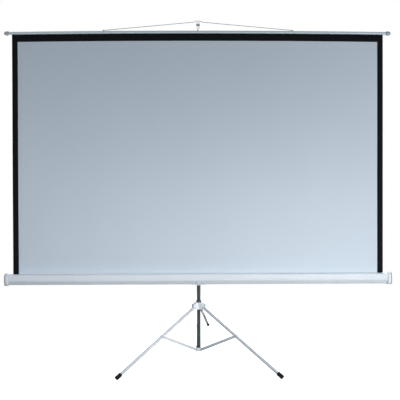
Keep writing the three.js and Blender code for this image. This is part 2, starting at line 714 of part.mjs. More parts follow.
// The inner rod with the hook that carries the hanger wire
function makeRod() {
  const rodRadius = ROD_DIAMETER / 2;
  const bottom = sleeveTopZ - ROD_OVERLAP;
  const seatZ = wireCrestZ - WIRE_DIAMETER / 2 - CLEARANCE;
  const armTop = seatZ - HOOK_ARM_DROP;
  const armBottom = armTop - HOOK_ARM_HEIGHT;
  const rodTop = armTop - SLAT_WALL - CLEARANCE;
  const rod = tube(rodRadius, rodRadius - ROD_WALL, rodTop - bottom);
  const frontY = fabricY - HOOK_DEPTH / 2;
  const half = HOOK_WIDTH / 2;
  const cap = bar(half, HOOK_ARM_HEIGHT).translate(0, 0, armBottom);
  const arm = block(-half, fabricY, armBottom, HOOK_WIDTH, -fabricY, HOOK_ARM_HEIGHT);
  const headBottom = slatTopZ + HOOK_LIFT;
  const head = block(-half, frontY, headBottom,
    HOOK_WIDTH, HOOK_DEPTH, seatZ + HOOK_SEAT_LIP - headBottom);
  const seatWidth = WIRE_DIAMETER + 2 * CLEARANCE;
  const seat = block(-HOOK_WIDTH, fabricY - seatWidth / 2, seatZ,
    2 * HOOK_WIDTH, seatWidth, HOOK_DEPTH);
  const socketBottom = armBottom - CUT_MARGIN;
  const socket = bar(rodRadius + CLEARANCE, rodTop + CLEARANCE - socketBottom)
    .translate(0, 0, socketBottom);
  const hook = cut(join(cap, arm, head), seat, socket);
  const plateY = frontY - CLEARANCE - HOOK_PLATE_THICKNESS;
  const plate = block(-half, plateY, seatZ - HOOK_PLATE_DROP - HOOK_PLATE_HEIGHT,
    HOOK_WIDTH, HOOK_PLATE_THICKNESS, HOOK_PLATE_HEIGHT);
  return group(
    place(piece('top_rod', rod, brightTube), 0, 0, bottom),
    piece('top_hook', hook, brightTube),
    piece('hook_plate', plate, steel),
  );
}

function makePost() {
  const post = tube(postRadius, postRadius - POST_WALL, POST_LENGTH);
  const bushOuter = SLEEVE_DIAMETER / 2 - SLEEVE_WALL - CLEARANCE;
  const bush = tube(bushOuter, ROD_DIAMETER / 2 + CLEARANCE, BUSH_HEIGHT);
  const postTopZ = postBottomZ + POST_LENGTH;
  return group(
    place(piece('post_tube', post, darkTube), 0, 0, postBottomZ),
    place(piece('post_bush', bush, whitePlastic), 0, 0, postTopZ + CLEARANCE),
  );
}

// Copies of a shape turned to each leg's direction
function aroundLegs(makeShape) {
  return Object.values(LEG_AZIMUTHS).map((azimuth) => makeShape().rotateZ(radians(azimuth)));
}

// The white lower hub: a cup for the post with one lug for each brace
function makeLowerHub() {
  const height = LOWER_HUB_ABOVE_PIVOT + LOWER_HUB_BELOW_PIVOT;
  const body = bar(LOWER_HUB_DIAMETER / 2, height).translate(0, 0, lowerHubBottomZ);
  const lugOutline = linkShape(0, BRACE_PIVOT_RADIUS, LOWER_HUB_EYE_RADIUS);
  const lugs = aroundLegs(() => sidePlate(lugOutline, LEG_DIAMETER).translate(0, 0, lowerPivotZ));
  const cup = bar(postRadius + CLEARANCE, height).translate(0, 0, postBottomZ - CLEARANCE);
  const hole = RIVET_DIAMETER / 2 + CLEARANCE;
  const holes = aroundLegs(() => crossBar(hole, 2 * LEG_DIAMETER)
    .translate(BRACE_PIVOT_RADIUS, 0, lowerPivotZ));
  const hub = cut(join(body, ...lugs), cup, ...holes);
  const pieces = group(piece('lower_hub', hub, whitePlastic));
  for (const [name, azimuth] of Object.entries(LEG_AZIMUTHS)) {
    const pin = rivet(braceWidth)
      .translate(BRACE_PIVOT_RADIUS, 0, lowerPivotZ)
      .rotateZ(radians(azimuth));
    pieces.add(piece(`lower_rivet_${name}`, pin, steel));
  }
  return pieces;
}

const clevisWidth = legSlot + 2 * HUB_CHEEK;
const leverSlot = LEVER_THICKNESS + 2 * CLEARANCE;
const leverClevisWidth = leverSlot + 2 * LEVER_CHEEK;
const leverPivotZ = pivotZ - LEVER_PIVOT_DROP;
const leverPinRadius = RIVET_DIAMETER / 2;

// The white leg hub that slides on the post: a clevis for each leg and one for the lever
function makeLegHub() {
  const core = bar(HUB_CORE_DIAMETER / 2, HUB_HEIGHT).translate(0, 0, hubBottomZ);
  const reach = LEG_PIVOT_RADIUS + HUB_EYE_RADIUS;
  const cheekOutline = new THREE.Shape();
  cheekOutline.moveTo(0, hubBottomZ);
  cheekOutline.lineTo(HUB_CORE_DIAMETER / 2, hubBottomZ);
  cheekOutline.lineTo(LEG_PIVOT_RADIUS, pivotZ - HUB_EYE_RADIUS);
  cheekOutline.quadraticCurveTo(reach, pivotZ - HUB_EYE_RADIUS, reach, pivotZ);
  cheekOutline.lineTo(reach, hubTopZ - HUB_SHOULDER_DROP);
  cheekOutline.lineTo(HUB_CORE_DIAMETER / 2, hubTopZ);
  cheekOutline.lineTo(0, hubTopZ);
  const clevises = aroundLegs(() => sidePlate(cheekOutline, clevisWidth));
  const slots = aroundLegs(() => block(HUB_CORE_DIAMETER / 2, -legSlot / 2, hubBottomZ - CUT_MARGIN,
    reach, legSlot, HUB_HEIGHT + 2 * CUT_MARGIN));
  const legHole = RIVET_DIAMETER / 2 + CLEARANCE;
  const legHoles = aroundLegs(() => crossBar(legHole, 2 * clevisWidth)
    .translate(LEG_PIVOT_RADIUS, 0, pivotZ));
  const atLever = (geometry) => geometry.rotateZ(radians(LEVER_AZIMUTH));
  const lugInner = postRadius + CLEARANCE + LEVER_CHEEK;
  const lugBottom = leverPivotZ - LEVER_EYE_RADIUS;
  const lugHeel = LEVER_PIVOT_RADIUS - LEVER_EYE_RADIUS;
  const lugOuter = LEVER_PIVOT_RADIUS + LEVER_EYE_RADIUS;
  const lugOutline = new THREE.Shape();
  lugOutline.moveTo(lugInner, hubBottomZ + LEVER_LUG_ROOT);
  lugOutline.lineTo(lugInner, hubBottomZ);
  lugOutline.lineTo(lugHeel, leverPivotZ);
  lugOutline.quadraticCurveTo(lugHeel, lugBottom, LEVER_PIVOT_RADIUS, lugBottom);
  lugOutline.quadraticCurveTo(lugOuter, lugBottom, lugOuter, leverPivotZ);
  lugOutline.lineTo(HUB_CORE_DIAMETER / 2, hubBottomZ + LEVER_LUG_ROOT);
  const lug = atLever(sidePlate(lugOutline, leverClevisWidth));
  const leverGap = atLever(block(0, -leverSlot / 2, lugBottom - CUT_MARGIN,
    2 * lugOuter, leverSlot, hubBottomZ - lugBottom + CUT_MARGIN));
  const pinHole = atLever(crossBar(leverPinRadius + CLEARANCE, 2 * leverClevisWidth)
    .translate(LEVER_PIVOT_RADIUS, 0, leverPivotZ));
  const bore = bar(postRadius + CLEARANCE, 2 * HUB_HEIGHT).translate(0, 0, hubBottomZ - HUB_HEIGHT / 2);
  const hub = cut(join(core, ...clevises, lug), bore, ...slots, ...legHoles, leverGap, pinHole);
  const pieces = group(piece('leg_hub', hub, whitePlastic));
  for (const [name, azimuth] of Object.entries(LEG_AZIMUTHS)) {
    const legPin = rivet(clevisWidth).translate(LEG_PIVOT_RADIUS, 0, pivotZ).rotateZ(radians(azimuth));
    pieces.add(piece(`hub_rivet_${name}`, legPin, steel));
  }
  const pin = atLever(rivet(leverClevisWidth).translate(LEVER_PIVOT_RADIUS, 0, leverPivotZ));
  const ringBore = postRadius + CLEARANCE;
  const ringTop = ringBore + LOCK_RING_WALL;
  const ring = turned([[ringBore, 0], [ringTop + LOCK_RING_FLARE, 0], [ringTop, LOCK_RING_HEIGHT],
    [ringBore, LOCK_RING_HEIGHT], [ringBore, 0]]).translate(0, 0, hubTopZ + CLEARANCE);
  pieces.add(piece('lever_pin', pin, steel), piece('lock_ring', ring, darkTube));
  return pieces;
}

// The lever hangs from its pin: its own frame has the pin at the origin and the arm along -Z
function makeLever() {
  const armEnd = LEVER_LENGTH;
  const arm = sidePlate(linkShape(-LEVER_HEEL, armEnd, LEVER_WIDTH / 2), LEVER_THICKNESS);
  const tang = block(armEnd, -TANG_SIZE / 2, -TANG_SIZE / 2,
    LEVER_WIDTH / 2 + TANG_LENGTH, TANG_SIZE, TANG_SIZE);
  const pinHole = crossBar(leverPinRadius + 2 * CLEARANCE, 2 * LEVER_THICKNESS);
  const lever = cut(join(arm, tang), pinHole);
  const gripStart = armEnd + LEVER_WIDTH / 2 + CLEARANCE;
  const neck = GRIP_NECK_DIAMETER / 2;
  const radius = GRIP_DIAMETER / 2;
  const sleeve = turned([[0, 0], [neck - GRIP_BEVEL, 0], [neck, GRIP_BEVEL],
    [radius, GRIP_LENGTH - radius / 2], [radius / 2, GRIP_LENGTH], [0, GRIP_LENGTH]], PIN_SIDES)
    .rotateY(Math.PI / 2)
    .translate(gripStart, 0, 0);
  const kickProfile = [[0, 0], [GRIP_KICK_BASE / 2, 0], [GRIP_KICK_TIP / 2, GRIP_KICK], [0, GRIP_KICK]];
  const kick = turned(kickProfile, PIN_SIDES).translate(gripStart + GRIP_LENGTH - radius, 0, radius / 2);
  const holeSize = TANG_SIZE + 2 * CLEARANCE;
  const tangHole = block(gripStart - CUT_MARGIN, -holeSize / 2, -holeSize / 2,
    TANG_LENGTH + CUT_MARGIN + CLEARANCE, holeSize, holeSize);
  const grip = cut(join(sleeve, kick), tangHole);
  const swung = group(piece('lock_lever', lever, darkTube), piece('lever_grip', grip, blackRubber));
  swung.rotation.y = Math.PI / 2 - radians(LEVER_ANGLE);
  const carried = group(place(swung, LEVER_PIVOT_RADIUS, 0, leverPivotZ));
  carried.rotation.z = radians(LEVER_AZIMUTH);
  return carried;
}

// One leg in its own frame: the pivot at the origin and the tube along -Z
function makeLeg(name) {
  const radius = LEG_DIAMETER / 2;
  const bodyEnd = LEG_LENGTH - FOOT_SOLE - CLEARANCE;
  const pipe = tube(radius, radius - LEG_WALL, bodyEnd + LEG_TOP_LENGTH, LEG_SIDES)
    .translate(0, 0, -bodyEnd);
  const pivotHole = crossBar(RIVET_DIAMETER / 2 + 2 * CLEARANCE, 2 * LEG_DIAMETER);
  const braceHole = crossBar(RIVET_DIAMETER / 2 + BRACE_PLAY + CLEARANCE, 2 * LEG_DIAMETER)
    .translate(0, 0, -BRACE_REACH);
  const outer = FOOT_DIAMETER / 2;
  const bore = radius + CLEARANCE;
  const shoulder = (outer - bore) / 2;
  const tip = turned([[0, 0], [outer, 0], [outer, FOOT_LENGTH - shoulder],
    [outer - shoulder, FOOT_LENGTH], [bore, FOOT_LENGTH], [bore, FOOT_SOLE], [0, FOOT_SOLE]], LEG_SIDES)
    .translate(0, 0, -LEG_LENGTH);
  const floor = block(-LEG_LENGTH, -LEG_LENGTH, -2 * pivotZ, 2 * LEG_LENGTH, 2 * LEG_LENGTH, pivotZ)
    .rotateY(legAngle);
  const leg = group(
    piece(`leg_${name}`, cut(pipe, pivotHole, braceHole), legPaint),
    piece(`foot_${name}`, cut(tip, floor), blackRubber),
  );
  leg.rotation.y = -legAngle;
  return place(leg, LEG_PIVOT_RADIUS, 0, pivotZ);
}

// One brace in its own frame: the lower pivot at the origin and the channel along +X
function makeBrace(name) {
  const outside = sidePlate(linkShape(0, braceLength, BRACE_HEIGHT / 2), braceWidth);
  const hollow = block(-BRACE_HEIGHT, -legSlot / 2, -BRACE_HEIGHT / 2 + BRACE_WALL,
    braceLength + 2 * BRACE_HEIGHT, legSlot, BRACE_HEIGHT);
  const hubRelief = block(-BRACE_HEIGHT, -legSlot / 2, -BRACE_HEIGHT,
    BRACE_HEIGHT + BRACE_HUB_RELIEF, legSlot, 2 * BRACE_HEIGHT);
  const legRelief = block(braceLength - BRACE_LEG_RELIEF, -legSlot / 2, -BRACE_HEIGHT,
    BRACE_LEG_RELIEF + BRACE_HEIGHT, legSlot, 2 * BRACE_HEIGHT);
  const hubHole = crossBar(RIVET_DIAMETER / 2 + 2 * CLEARANCE, 2 * braceWidth);
  const legHole = crossBar(RIVET_DIAMETER / 2 + CLEARANCE, 2 * braceWidth).translate(braceLength, 0, 0);
  const channel = cut(outside, hollow, hubRelief, legRelief, hubHole, legHole);
  const brace = group(
    piece(`brace_${name}`, channel, legPaint),
    piece(`brace_rivet_${name}`, rivet(braceWidth).translate(braceLength, 0, 0), steel),
  );
  brace.rotation.y = -braceAngle;
  return place(brace, BRACE_PIVOT_RADIUS, 0, lowerPivotZ);
}

function makeTripod() {
  const tripod = group(makeLowerHub(), makeLegHub(), makeLever());
  for (const [name, azimuth] of Object.entries(LEG_AZIMUTHS)) {
    const side = group(makeLeg(name), makeBrace(name));
    side.rotation.z = radians(azimuth);
    tripod.add(side);
  }
  return tripod;
}

const caseGroup = group(makeCase(), makeEndCaps(), makeSpringAxle(), makeRoller(), makeSaddle());
place(caseGroup, 0, caseY, caseZ);
const mast = group(makePost(), makeSleeve(), makeKnobs(), makeRod());
const screen = group(mast, makeTripod(), caseGroup, makeFabric(), makeSlat());

// The origin lies on the floor under the middle of the whole object's footprint
const footprint = new THREE.Box3().setFromObject(screen, true);
screen.position.y = -(footprint.min.y + footprint.max.y) / 2;

export default screen;
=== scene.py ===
"""Dress a tripod projection screen around its fixed frame, and light and frame its portrait.

Places are in metres in the frame's own axes: +Z up, and the picture side faces -Y.
Sizes of pieces are written in millimetres, the maker's unit, and turned to metres by mm().
"""

import json
import logging
import math
from dataclasses import dataclass
from enum import Enum
from typing import Callable, Iterable, Sequence

import bmesh
import bpy
from mathutils import Matrix, Vector

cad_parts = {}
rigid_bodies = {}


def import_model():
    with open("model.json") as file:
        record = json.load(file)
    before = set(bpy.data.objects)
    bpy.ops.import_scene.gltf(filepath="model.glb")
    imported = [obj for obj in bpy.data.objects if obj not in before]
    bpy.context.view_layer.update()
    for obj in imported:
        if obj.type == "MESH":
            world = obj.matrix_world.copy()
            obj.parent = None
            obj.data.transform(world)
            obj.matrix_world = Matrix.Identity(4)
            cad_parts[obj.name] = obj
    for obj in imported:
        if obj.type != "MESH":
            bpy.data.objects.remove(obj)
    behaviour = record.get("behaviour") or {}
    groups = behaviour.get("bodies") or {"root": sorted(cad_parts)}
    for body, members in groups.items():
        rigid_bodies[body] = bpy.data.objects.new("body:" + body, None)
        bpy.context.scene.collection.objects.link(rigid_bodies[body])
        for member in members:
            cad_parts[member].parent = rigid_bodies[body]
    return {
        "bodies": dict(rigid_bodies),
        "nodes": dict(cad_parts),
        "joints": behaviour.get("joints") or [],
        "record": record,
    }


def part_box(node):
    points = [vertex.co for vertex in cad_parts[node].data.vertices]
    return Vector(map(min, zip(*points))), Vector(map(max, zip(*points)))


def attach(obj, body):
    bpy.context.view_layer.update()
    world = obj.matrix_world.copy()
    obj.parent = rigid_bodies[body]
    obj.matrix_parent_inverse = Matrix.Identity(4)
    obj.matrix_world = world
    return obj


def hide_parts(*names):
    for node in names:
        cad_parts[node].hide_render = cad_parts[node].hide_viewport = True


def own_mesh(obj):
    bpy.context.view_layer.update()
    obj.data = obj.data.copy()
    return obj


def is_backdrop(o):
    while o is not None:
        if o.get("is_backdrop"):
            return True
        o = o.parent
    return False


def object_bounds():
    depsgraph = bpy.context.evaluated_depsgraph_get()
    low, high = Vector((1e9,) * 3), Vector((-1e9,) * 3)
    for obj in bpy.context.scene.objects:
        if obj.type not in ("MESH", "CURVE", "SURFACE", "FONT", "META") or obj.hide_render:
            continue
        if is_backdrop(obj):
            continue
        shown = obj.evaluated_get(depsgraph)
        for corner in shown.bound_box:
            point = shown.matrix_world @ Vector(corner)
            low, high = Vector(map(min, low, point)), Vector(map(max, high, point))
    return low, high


log = logging.getLogger("projection_screen")

Pair = tuple[float, float]
Point = tuple[float, float, float]
Colour = tuple[float, float, float, float]
Mesh = bmesh.types.BMesh
Tree = bpy.types.NodeTree
Socket = bpy.types.NodeSocket

PHOTO_WIDTH_PX = 400
SHARP_ANGLE = math.radians(35)
FLAT_ANGLE = math.radians(1)
WELD = 1e-6
# Faces across a rounded edge, and across a rounded corner of a turned profile
EDGE_STEPS = 2
TURNED_CORNER_STEPS = 3
# Sides of a turned body, and of a small one such as a rivet
TURNED_SIDES = 48
SMALL_SIDES = 24
# The slow patches of tone, as the noise texture counts its octaves and their weight
PATCH_DETAIL = 3.0
PATCH_ROUGHNESS = 0.55
# How much slower a drawn surface changes along its length than across it
DRAWN_SHARE = 0.01
X_AXIS = Vector((1, 0, 0))
Y_AXIS = Vector((0, 1, 0))
Z_AXIS = Vector((0, 0, 1))
LEG_AZIMUTHS = {"left": 210, "right": 330, "rear": 90}
SIDES = {"left": -1, "right": 1}
# How far the ends of the slat, held at its middle by the wire, hang below its middle
SLAT_DROOP_MM = 8.5
# Room between pieces that fit into or onto each other
FIT_MM = 0.3


def mm(size: float) -> float:
    """Turn millimetres into metres."""
    return size / 1000


def linear(hex_colour: str) -> Colour:
    """Turn an sRGB hex colour into a linear one.

    Args:
        hex_colour: Six hex digits, red first.

    Returns:
        Red, green, blue and alpha in linear light.
    """
    channels = [int(hex_colour[start:start + 2], 16) / 255 for start in (0, 2, 4)]
    lit = [c / 12.92 if c <= 0.04045 else ((c + 0.055) / 1.055) ** 2.4 for c in channels]
    return lit[0], lit[1], lit[2], 1.0


def bare_tree(owner: bpy.types.Material | bpy.types.World) -> Tree:
    """Give a material or a world an empty node tree."""
    owner.use_nodes = True
    owner.node_tree.nodes.clear()
    return owner.node_tree


def add_node(tree: Tree, kind: str, feeds: dict | None = None, **settings) -> bpy.types.Node:
    """Add a node with its settings, and feed its sockets.

    Args:
        tree: The node tree that gets the node.
        kind: The node's type name.
        feeds: Socket name or number to a plain value or to an output socket that is linked in.
        settings: Properties of the node itself.

    Returns:
        The new node.
    """
    node = tree.nodes.new(kind)
    for name, value in settings.items():
        setattr(node, name, value)
    for socket, value in (feeds or {}).items():
        if isinstance(value, Socket):
            tree.links.new(value, node.inputs[socket])
        else:
            node.inputs[socket].default_value = value
    return node


def larger(tree: Tree, first: Socket, second: Socket) -> Socket:
    """Give the larger of two values in a node tree."""
    return add_node(tree, "ShaderNodeMath", {0: first, 1: second}, operation="MAXIMUM").outputs[0]


def add_object(name: str, data: bpy.types.ID) -> bpy.types.Object:
    """Make an object of a mesh, curve, lamp or camera, and put it in the scene."""
    thing = bpy.data.objects.new(name, data)
    bpy.context.scene.collection.objects.link(thing)
    return thing


class Grain(Enum):
    """How a surface was made, which decides the pattern that the eye finds on it."""

    SPRAYED = "shallow orange peel of baked powder paint"
    MOULDED = "even grit of a spark-eroded mould"
    DRAWN = "faint lines along a drawn or extruded length"
    PLATED = "cloudy bloom of plated steel"
    WOVEN = "crossing threads of a coated cloth"


# Octaves of noise in each grain that is drawn with it
GRAIN_DETAIL = {Grain.SPRAYED: 1.0, Grain.MOULDED: 2.0, Grain.DRAWN: 4.0, Grain.PLATED: 5.0}


@dataclass(frozen=True)
class Finish:
    """A material named for what it is, with the sizes of its patterns in millimetres.

    Attributes:
        name: Common name of the material.
        slot: The record's material slot that it stands for.
        colour: Main sRGB hex colour.
        shade: sRGB hex colour that slow patches drift towards.
        roughness: Middle of its roughness.
        grain: How its surface was made.
        grain_mm: Size of one grain, thread or line.
        relief_mm: Height of the grain.
        metallic: 1 for bare metal.
        patch_mm: Size of the slow patches of tone and gloss.
        gloss_drift: How far roughness wanders either way.
        run: The direction of drawn lines.
        specular: Strength of its surface reflection, where 0.5 is that of a smooth clear coat.
    """

    name: str
    slot: str
    colour: str
    shade: str
    roughness: float
    grain: Grain
    grain_mm: float
    relief_mm: float
    metallic: float = 0.0
    patch_mm: float = 90.0
    gloss_drift: float = 0.05
    run: Point = (0.0, 0.0, 1.0)
    specular: float = 0.5

    def material(self) -> bpy.types.Material:
        """Make the material once, and return it."""
        made = bpy.data.materials.get(self.name)
        return made or self._make()

    def _make(self) -> bpy.types.Material:
        """Build the node tree: tone patches, wandering gloss and the relief of the grain."""
        material = bpy.data.materials.new(self.name)
        tree = bare_tree(material)
        place = self._place(tree)
        patches = add_node(tree, "ShaderNodeTexNoise", {
            "Vector": place,
            "Scale": 1 / mm(self.patch_mm),
            "Detail": PATCH_DETAIL,
            "Roughness": PATCH_ROUGHNESS,
        })
        tone = add_node(tree, "ShaderNodeMix", {
            0: patches.outputs["Fac"], 6: linear(self.colour), 7: linear(self.shade),
        }, data_type="RGBA")
        height = self._height(tree, place)
        gloss = add_node(tree, "ShaderNodeMapRange", {
            "Value": height,
            "To Min": self.roughness - self.gloss_drift,
            "To Max": self.roughness + self.gloss_drift,
        })
        relief = add_node(tree, "ShaderNodeBump", {"Height": height, "Distance": mm(self.relief_mm)})
        shader = add_node(tree, "ShaderNodeBsdfPrincipled", {
            "Base Color": tone.outputs[2],
            "Roughness": gloss.outputs[0],
            "Normal": relief.outputs[0],
            "Metallic": self.metallic,
            "Specular IOR Level": self.specular,
        })
        add_node(tree, "ShaderNodeOutputMaterial", {"Surface": shader.outputs[0]})
        return material

    def _place(self, tree: Tree) -> Socket:
        """Give the coordinates that the pattern reads, in metres."""
        source = add_node(tree, "ShaderNodeTexCoord")
        if self.grain is Grain.WOVEN:
            stretch = (Cloth.UV_SPAN,) * 3
            return add_node(tree, "ShaderNodeMapping", {
                "Vector": source.outputs["UV"], "Scale": stretch,
            }).outputs[0]
        return source.outputs["Object"]

    def _height(self, tree: Tree, place: Socket) -> Socket:
        """Draw the grain as a height from 0 to 1.

        Args:
            tree: The material's node tree.
            place: Coordinates in metres.

        Returns:
            The socket that carries the height.
        """
        fine = 1 / mm(self.grain_mm)
        if self.grain is Grain.WOVEN:
            # A wave texture turns twenty radians for each unit of its scale
            waves = [
                add_node(tree, "ShaderNodeTexWave", {"Vector": place, "Scale": math.pi / 10 * fine},
                         bands_direction=direction).outputs["Fac"]
                for direction in ("X", "Y")
            ]
            return larger(tree, *waves)
        if self.grain is Grain.DRAWN:
            squeeze = tuple(1 - (1 - DRAWN_SHARE) * abs(part) for part in self.run)
            place = add_node(tree, "ShaderNodeMapping", {"Vector": place, "Scale": squeeze}).outputs[0]
        return add_node(tree, "ShaderNodeTexNoise", {
            "Vector": place, "Scale": fine, "Detail": GRAIN_DETAIL[self.grain],
        }).outputs["Fac"]


class Coat(Enum):
    """The finishes of this screen."""

    # Powder-coated steel: even satin white with a shallow peel that softens its highlight
    WHITE_PAINT = Finish("white powder-coated steel", "white_paint", "E6ECF1", "DDE4EA", 0.38,
                         Grain.SPRAYED, 2.5, 0.03, patch_mm=160)
    # The legs' coat is greyer, over thin tube and folded channel. Part of that grey is painted shade: it
    # darkens the legs the way the dimmer light near the floor does
    LEG_PAINT_AND_PAINTED_SHADE = Finish("light grey powder-coated steel with painted shade", "leg_paint", "C8CCCF", "C1C5C9", 0.45,
                       Grain.SPRAYED, 2.0, 0.03, patch_mm=110)
    # Moulded ABS: a touch brighter than the paint, with a fine grit
    WHITE_PLASTIC = Finish("white moulded ABS", "white_plastic", "EEF1F4", "E6EAEE", 0.45,
                           Grain.MOULDED, 1.2, 0.02, patch_mm=60)
    # Enamelled steel tube: dark grey, lightly streaked along its length by the drawing die
    DARK_TUBE = Finish("dark grey enamelled tube", "dark_tube", "494F51", "424849", 0.5,
                       Grain.DRAWN, 1.5, 0.02, patch_mm=120, specular=0.2)
    # Enamelled flat steel: a mid grey coat, thin enough to soften the edges of the lever only a little
    LEVER_ENAMEL = Finish("grey enamelled flat steel", "dark_tube", "8E9194", "868A8D", 0.5,
                          Grain.SPRAYED, 1.5, 0.02, patch_mm=40, specular=0.3)
    # Bright-plated steel tube: clear reflections drawn out along the rod
    BRIGHT_TUBE = Finish("bright-plated steel tube", "bright_tube", "E3E6E9", "D8DCDF", 0.2,
                         Grain.DRAWN, 1.0, 0.01, metallic=1.0, patch_mm=120)
    # Anodised aluminium: satin grey with extrusion lines along the slat
    SLAT_METAL = Finish("satin anodised aluminium", "slat_metal", "A3ADB4", "9AA4AB", 0.42,
                        Grain.DRAWN, 0.8, 0.015, metallic=0.85, patch_mm=140, run=(1.0, 0.0, 0.0))
    # Cast zinc alloy, tumbled: a duller and darker grey than the slat
    CAST_ALLOY = Finish("grey cast alloy", "slat_metal", "8C9199", "82878F", 0.5,
                        Grain.PLATED, 3.0, 0.01, metallic=0.85, patch_mm=30)
    # Zinc-plated steel: cool grey with a cloudy bloom
    STEEL = Finish("zinc-plated steel", "steel", "9AA0A4", "878D91", 0.34,
                   Grain.PLATED, 4.0, 0.01, metallic=1.0, patch_mm=12)
    # Spring steel: darker than plated steel, with faint lines along the wire and the hook's plate
    SPRING_STEEL = Finish("dark spring steel", "steel", "7A7F83", "6F7478", 0.34,
                          Grain.DRAWN, 1.5, 0.002, metallic=1.0, patch_mm=60, run=(1.0, 0.0, 0.0))
    # Black moulded nylon: near black, with a fine grit that keeps it from shining
    BLACK_PLASTIC = Finish("black moulded nylon", "black_plastic", "151617", "1C1D1F", 0.46,
                           Grain.MOULDED, 0.9, 0.03, patch_mm=20, specular=0.3)
    # Black rubber: matt, with a little dust in its pores
    BLACK_RUBBER = Finish("black rubber", "black_rubber", "0D0D0E", "191919", 0.8,
                          Grain.MOULDED, 1.4, 0.06, patch_mm=14, specular=0.2)
    # Grey vinyl: soft moulded bumper with a dull skin
    GREY_VINYL = Finish("grey vinyl", "black_rubber", "A8ACB1", "A0A4A9", 0.6,
                        Grain.MOULDED, 1.2, 0.03, patch_mm=30, specular=0.3)
    # Coated glass-fibre cloth: matt cool white. Its threads are under a millimetre apart, and they
    # are drawn at four so that they show from a step away
    SCREEN_WHITE = Finish("matt white coated cloth", "screen_white", "D7E1EA", "D3DEE8", 0.9,
                          Grain.WOVEN, 4.0, 0.03, patch_mm=420, specular=0.15)
    # Black ink on the same cloth: deep matt black that still shows the threads
    MASK_BLACK = Finish("black printed cloth", "mask_black", "0D0F12", "101216", 0.82,
                        Grain.WOVEN, 4.0, 0.03, patch_mm=200, specular=0.1)


@dataclass(frozen=True)
class Span:
    """The box that a node of the frame fills at rest."""

    low: Vector
    high: Vector

    @classmethod
    def of(cls, node: str) -> "Span":
        """Read the box of a node."""
        return cls(*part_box(node))

    @property
    def centre(self) -> Vector:
        """Middle of the box."""
        return (self.low + self.high) / 2

    @property
    def size(self) -> Vector:
        """Lengths of the box's sides."""
        return self.high - self.low

    @property
    def foot(self) -> Vector:
        """Middle of the box's underside."""
        return Vector((self.centre.x, self.centre.y, self.low.z))

    def end(self, sign: int) -> float:
        """Give the box's left end along X for -1, and its right end for 1."""
        return self.low.x if sign < 0 else self.high.x


def droop(x: float) -> float:
    """Give how far the slat has sunk at a place along it, in metres."""
    return mm(SLAT_DROOP_MM) * (x / Span.of("top_slat").high.x) ** 2


def turn_to(axis: Vector, origin: Vector) -> Matrix:
    """Give the matrix that stands a shape somewhere.

    Args:
        axis: The direction that the shape's own Z takes.
        origin: The point that its zero takes.

    Returns:
        The matrix.
    """
    return Matrix.Translation(origin) @ Z_AXIS.rotation_difference(axis).to_matrix().to_4x4()


def around(azimuth: float) -> Matrix:
    """Give the turn about Z to a leg's direction, in degrees."""
    return Matrix.Rotation(math.radians(azimuth), 4, "Z")


def tidy(bm: Mesh) -> Mesh:
    """Merge doubled points and turn all faces outwards."""
    bmesh.ops.remove_doubles(bm, verts=bm.verts, dist=WELD)
    bmesh.ops.recalc_face_normals(bm, faces=bm.faces)
    return bm


def placed(bm: Mesh, matrix: Matrix) -> Mesh:
    """Move a body by a matrix."""
    bm.transform(matrix)
    return bm


def cut(bm: Mesh, point: Sequence[float], normal: Vector, drop_behind: bool = False) -> None:
    """Cut a mesh along a plane.

    Args:
        bm: The mesh.
        point: A point of the plane.
        normal: The way that the plane faces.
        drop_behind: True to drop what lies behind the plane.
    """
    everything = bm.verts[:] + bm.edges[:] + bm.faces[:]
    bmesh.ops.bisect_plane(bm, geom=everything, dist=WELD, plane_co=point, plane_no=normal,
                           clear_inner=drop_behind)


def round_off(bm: Mesh, chosen: Iterable, radius: float, steps: int, affect: str = "EDGES") -> None:
    """Round some edges or corners of a mesh.

    Args:
        bm: The mesh.
        chosen: Its edges, or its points where they are to be rounded.
        radius: The rounding, in metres.
        steps: Faces across the rounding.
        affect: EDGES or VERTICES, as chosen.
    """
    bmesh.ops.bevel(bm, geom=list(chosen), offset=radius, segments=steps, profile=0.5,
                    affect=affect, material=-1)


def rounded(bm: Mesh, radius: float) -> Mesh:
    """Round the edges of a body where its faces meet sharply."""
    sharp = [edge for edge in bm.edges if edge.is_manifold and edge.calc_face_angle() > SHARP_ANGLE]
    round_off(bm, sharp, radius, EDGE_STEPS)
    return bm


def turned(profile: Sequence[Pair], ring: bool = False, rounding: float = 0.0,
           sides: int = TURNED_SIDES) -> Mesh:
    """Spin a profile about Z into a closed body.

    Args:
        profile: Radius and height of each corner, in metres.
        ring: True for a profile that closes on itself, false for one that ends on the axis.
        rounding: How far each corner is rounded, in metres.
        sides: Sides of the turned body.

    Returns:
        The body, with its faces pointing out.
    """
    bm = bmesh.new()
    corners = [bm.verts.new((radius, 0, height)) for radius, height in profile]
    path = corners + corners[:1] if ring else corners
    for start, end in zip(path, path[1:]):
        bm.edges.new((start, end))
    if rounding:
        bent = corners if ring else corners[1:-1]
        round_off(bm, bent, rounding, TURNED_CORNER_STEPS, "VERTICES")
    bmesh.ops.spin(bm, geom=bm.verts[:] + bm.edges[:], axis=Z_AXIS, cent=(0, 0, 0),
                   angle=2 * math.pi, steps=sides, use_merge=True)
    return tidy(bm)


def pipe(outer: float, inner: float, length: float, rounding: float) -> Mesh:
    """Make an open tube from z = 0 upwards, with rounded rims."""
    return turned([(inner, 0), (outer, 0), (outer, length), (inner, length)], ring=True, rounding=rounding)


def drawn_out(bm: Mesh, start: Vector, reach: float) -> Mesh:
    """Draw flat faces at x = 0 out along X into a closed bar.

    Args:
        bm: The flat faces.
        start: Where the faces' zero goes.
        reach: How far they are drawn, towards -X where it is negative, in metres.

    Returns:
        The bar.
    """
    bmesh.ops.translate(bm, verts=bm.verts, vec=start)
    grown = bmesh.ops.extrude_face_region(bm, geom=bm.faces[:])
    moved = [part for part in grown["geom"] if isinstance(part, bmesh.types.BMVert)]
    bmesh.ops.translate(bm, verts=moved, vec=X_AXIS * reach)
    return bm


